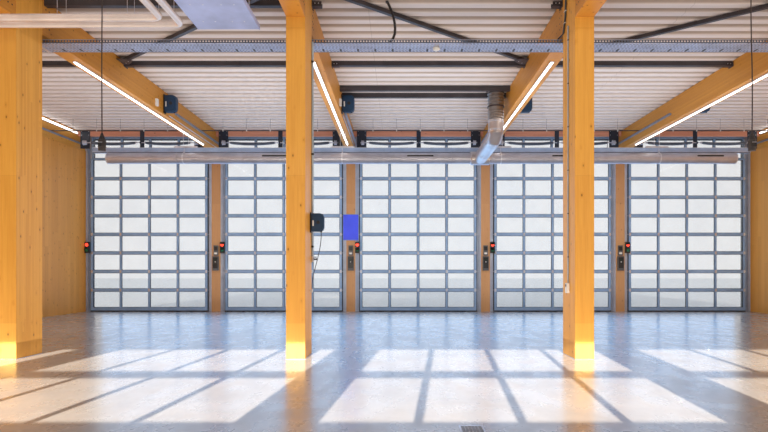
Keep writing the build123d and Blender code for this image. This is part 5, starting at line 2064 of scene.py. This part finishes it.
@dataclass
class Studio:
    """The camera, the plain ground and the light."""

    hall: Hall
    eye: Point = (-0.64, -8.99, 1.49)
    picture: tuple[int, int] = (768, 432)
    focal_pixels: float = 557.0
    principal: Flat = (399.0, 270.0)
    sensor: float = 36.0
    sun_drift: float = 0.085
    sun_slope: float = 0.2417
    sky: Colour = (0.86, 0.92, 1.0)
    sky_strength: float = 0.85
    ground_half: float = 90.0
    mirrored_lamp: str = "door_sky"

    def camera(self) -> None:
        """Sets the camera at the photograph's place and frame."""
        data = bpy.data.cameras.new("hall_camera")
        data.sensor_width = self.sensor
        data.lens = self.focal_pixels / self.picture[0] * self.sensor
        data.shift_x = -(self.principal[0] - self.picture[0] / 2) / self.picture[0]
        data.shift_y = (self.principal[1] - self.picture[1] / 2) / self.picture[0]
        data.clip_start, data.clip_end = 0.05, 500.0
        camera = new_object("hall_camera", data)
        camera.location = self.eye
        camera.rotation_euler = (pi / 2, 0.0, 0.0)
        bpy.context.scene.camera = camera

    def ground(self) -> None:
        """Lays the plain pale floor that the hall stands on."""
        half = self.ground_half
        mesh = bpy.data.meshes.new("stage_floor")
        mesh.from_pydata([(-half, -half, 0), (half, -half, 0), (half, half, 0), (-half, half, 0)], [], [(0, 1, 2, 3)])
        mesh.materials.append(YARD.material())
        new_object("stage_floor", mesh)

    def world(self) -> None:
        """Fills the surroundings: white where they are seen or mirrored, a plain sky where they give light."""
        world = bpy.data.worlds.new("studio_surroundings")
        bpy.context.scene.world = world
        graph = Graph(world)
        path = graph.node("ShaderNodeLightPath")
        seen = path.outputs["Is Camera Ray"]
        for name in ("Is Glossy Ray", "Is Transmission Ray"):
            both = graph.node("ShaderNodeMath", {"operation": "MAXIMUM"}, {0: seen, 1: path.outputs[name]})
            seen = both.outputs[0]
        mixed = {0: seen}
        for place, (colour, level) in enumerate(((self.sky, self.sky_strength), ((1.0, 1.0, 1.0), 1.0)), start=1):
            background = graph.node("ShaderNodeBackground", inputs={"Color": (*colour, 1.0), "Strength": level})
            mixed[place] = background.outputs[0]
        mix = graph.node("ShaderNodeMixShader", inputs=mixed)
        graph.node("ShaderNodeOutputWorld", inputs={"Surface": mix.outputs[0]})

    def lamps(self) -> None:
        """Sets the low sun behind the camera and the soft lamps under the roof."""
        drift = Vector((self.sun_drift, 1.0, 0.0)).normalized()
        sunlight = (drift - Vector((0.0, 0.0, self.sun_slope))).normalized()
        for name, node, power, width, colour in (
            ("low_sun", None, 2.8, 1.2, (1.0, 0.955, 0.89)),
            ("floor_sun", "floor_slab", 45.0, 0.35, (1.0, 0.86, 0.68)),
            ("column_sun", "mid_columns", 12.0, 0.35, (0.7, 0.82, 1.0)),
        ):
            lamp = self._lamp(name, "SUN", power, colour)
            lamp.data.angle = radians(width)
            lamp.rotation_mode = "QUATERNION"
            lamp.rotation_quaternion = sunlight.to_track_quat("-Z", "Y")
            if node:
                lit = bpy.data.collections.new(f"{name}_receivers")
                lit.objects.link(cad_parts[node])
                lamp.light_linking.receiver_collection = lit
        low = self.hall.floor + 0.25
        for name, place, tilt, size, power, colour in (
            ("upward_fill", (0, -3.5, low), 180, (20.0, 9.0), 350.0, (1.0, 0.90, 0.85)),
            ("upward_fill_back", (0, 5.0, low), 180, (20.0, 8.0), 260.0, (0.97, 0.94, 0.96)),
            ("camera_fill", (0, -9.0, 3.2), 80, (20.0, 3.5), 430.0, (1.0, 0.94, 0.84)),
            ("back_fill", (0, 2.6, 3.6), 90, (20.0, 3.0), 220.0, (0.80, 0.89, 1.0)),
            ("door_sky", (0, 9.5, 2.6), -90, (21.0, 4.6), 220.0, (0.20, 0.52, 1.0)),
            ("downward_fill", (0, 2.0, 5.25), 0, (20.0, 12.0), 200.0, (0.93, 0.96, 1.0)),
        ):
            lamp = self._lamp(name, "AREA", power, colour)
            lamp.data.shape = "RECTANGLE"
            lamp.data.size, lamp.data.size_y = size
            lamp.location, lamp.rotation_euler = place, (radians(tilt), 0, 0)
            lamp.visible_camera, lamp.visible_glossy = False, name == self.mirrored_lamp

    @staticmethod
    def _lamp(name: str, kind: str, power: float, colour: Colour) -> Object:
        """Adds a lamp.

        Args:
            name: its name.
            kind: its kind, SUN or AREA.
            power: its power.
            colour: its colour.

        Returns:
            The lamp.
        """
        data = bpy.data.lights.new(name, kind)
        data.energy, data.color = power, colour
        return new_object(name, data)

    def build(self) -> None:
        """Sets up the ground and the light."""
        bpy.context.scene.view_settings.view_transform = "Standard"
        self.ground()
        self.world()
        self.lamps()


def main() -> None:
    """Builds the studio, then every sub-assembly of the hall."""
    logging.basicConfig(level=logging.INFO, format="%(message)s")
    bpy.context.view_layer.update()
    hall = Hall()
    studio = Studio(hall)
    studio.camera()
    Cords().build()
    studio.build()
    assemblies = [
        FloorWorks(hall), TimberFrame(hall), RoofWorks(hall), EndCladding("left"), EndCladding("right"),
        DoorWall(hall, "back", tuple(range(8))), DoorWall(hall, "front", (2, 3)),
        SpringGear(hall, "back"), SpringGear(hall, "front"),
        Bracing(hall), ExtractSystem(hall), CableTray(), Heating(), CableRail(hall), Lights(hall),
        HoseReels(hall), ColumnFittings(hall), WallFittings(hall),
    ]
    for assembly in assemblies:
        assembly.build()
    dress(TRANSOM_GLASS, "transom_glazing")


if __name__ == "__main__":
    main()
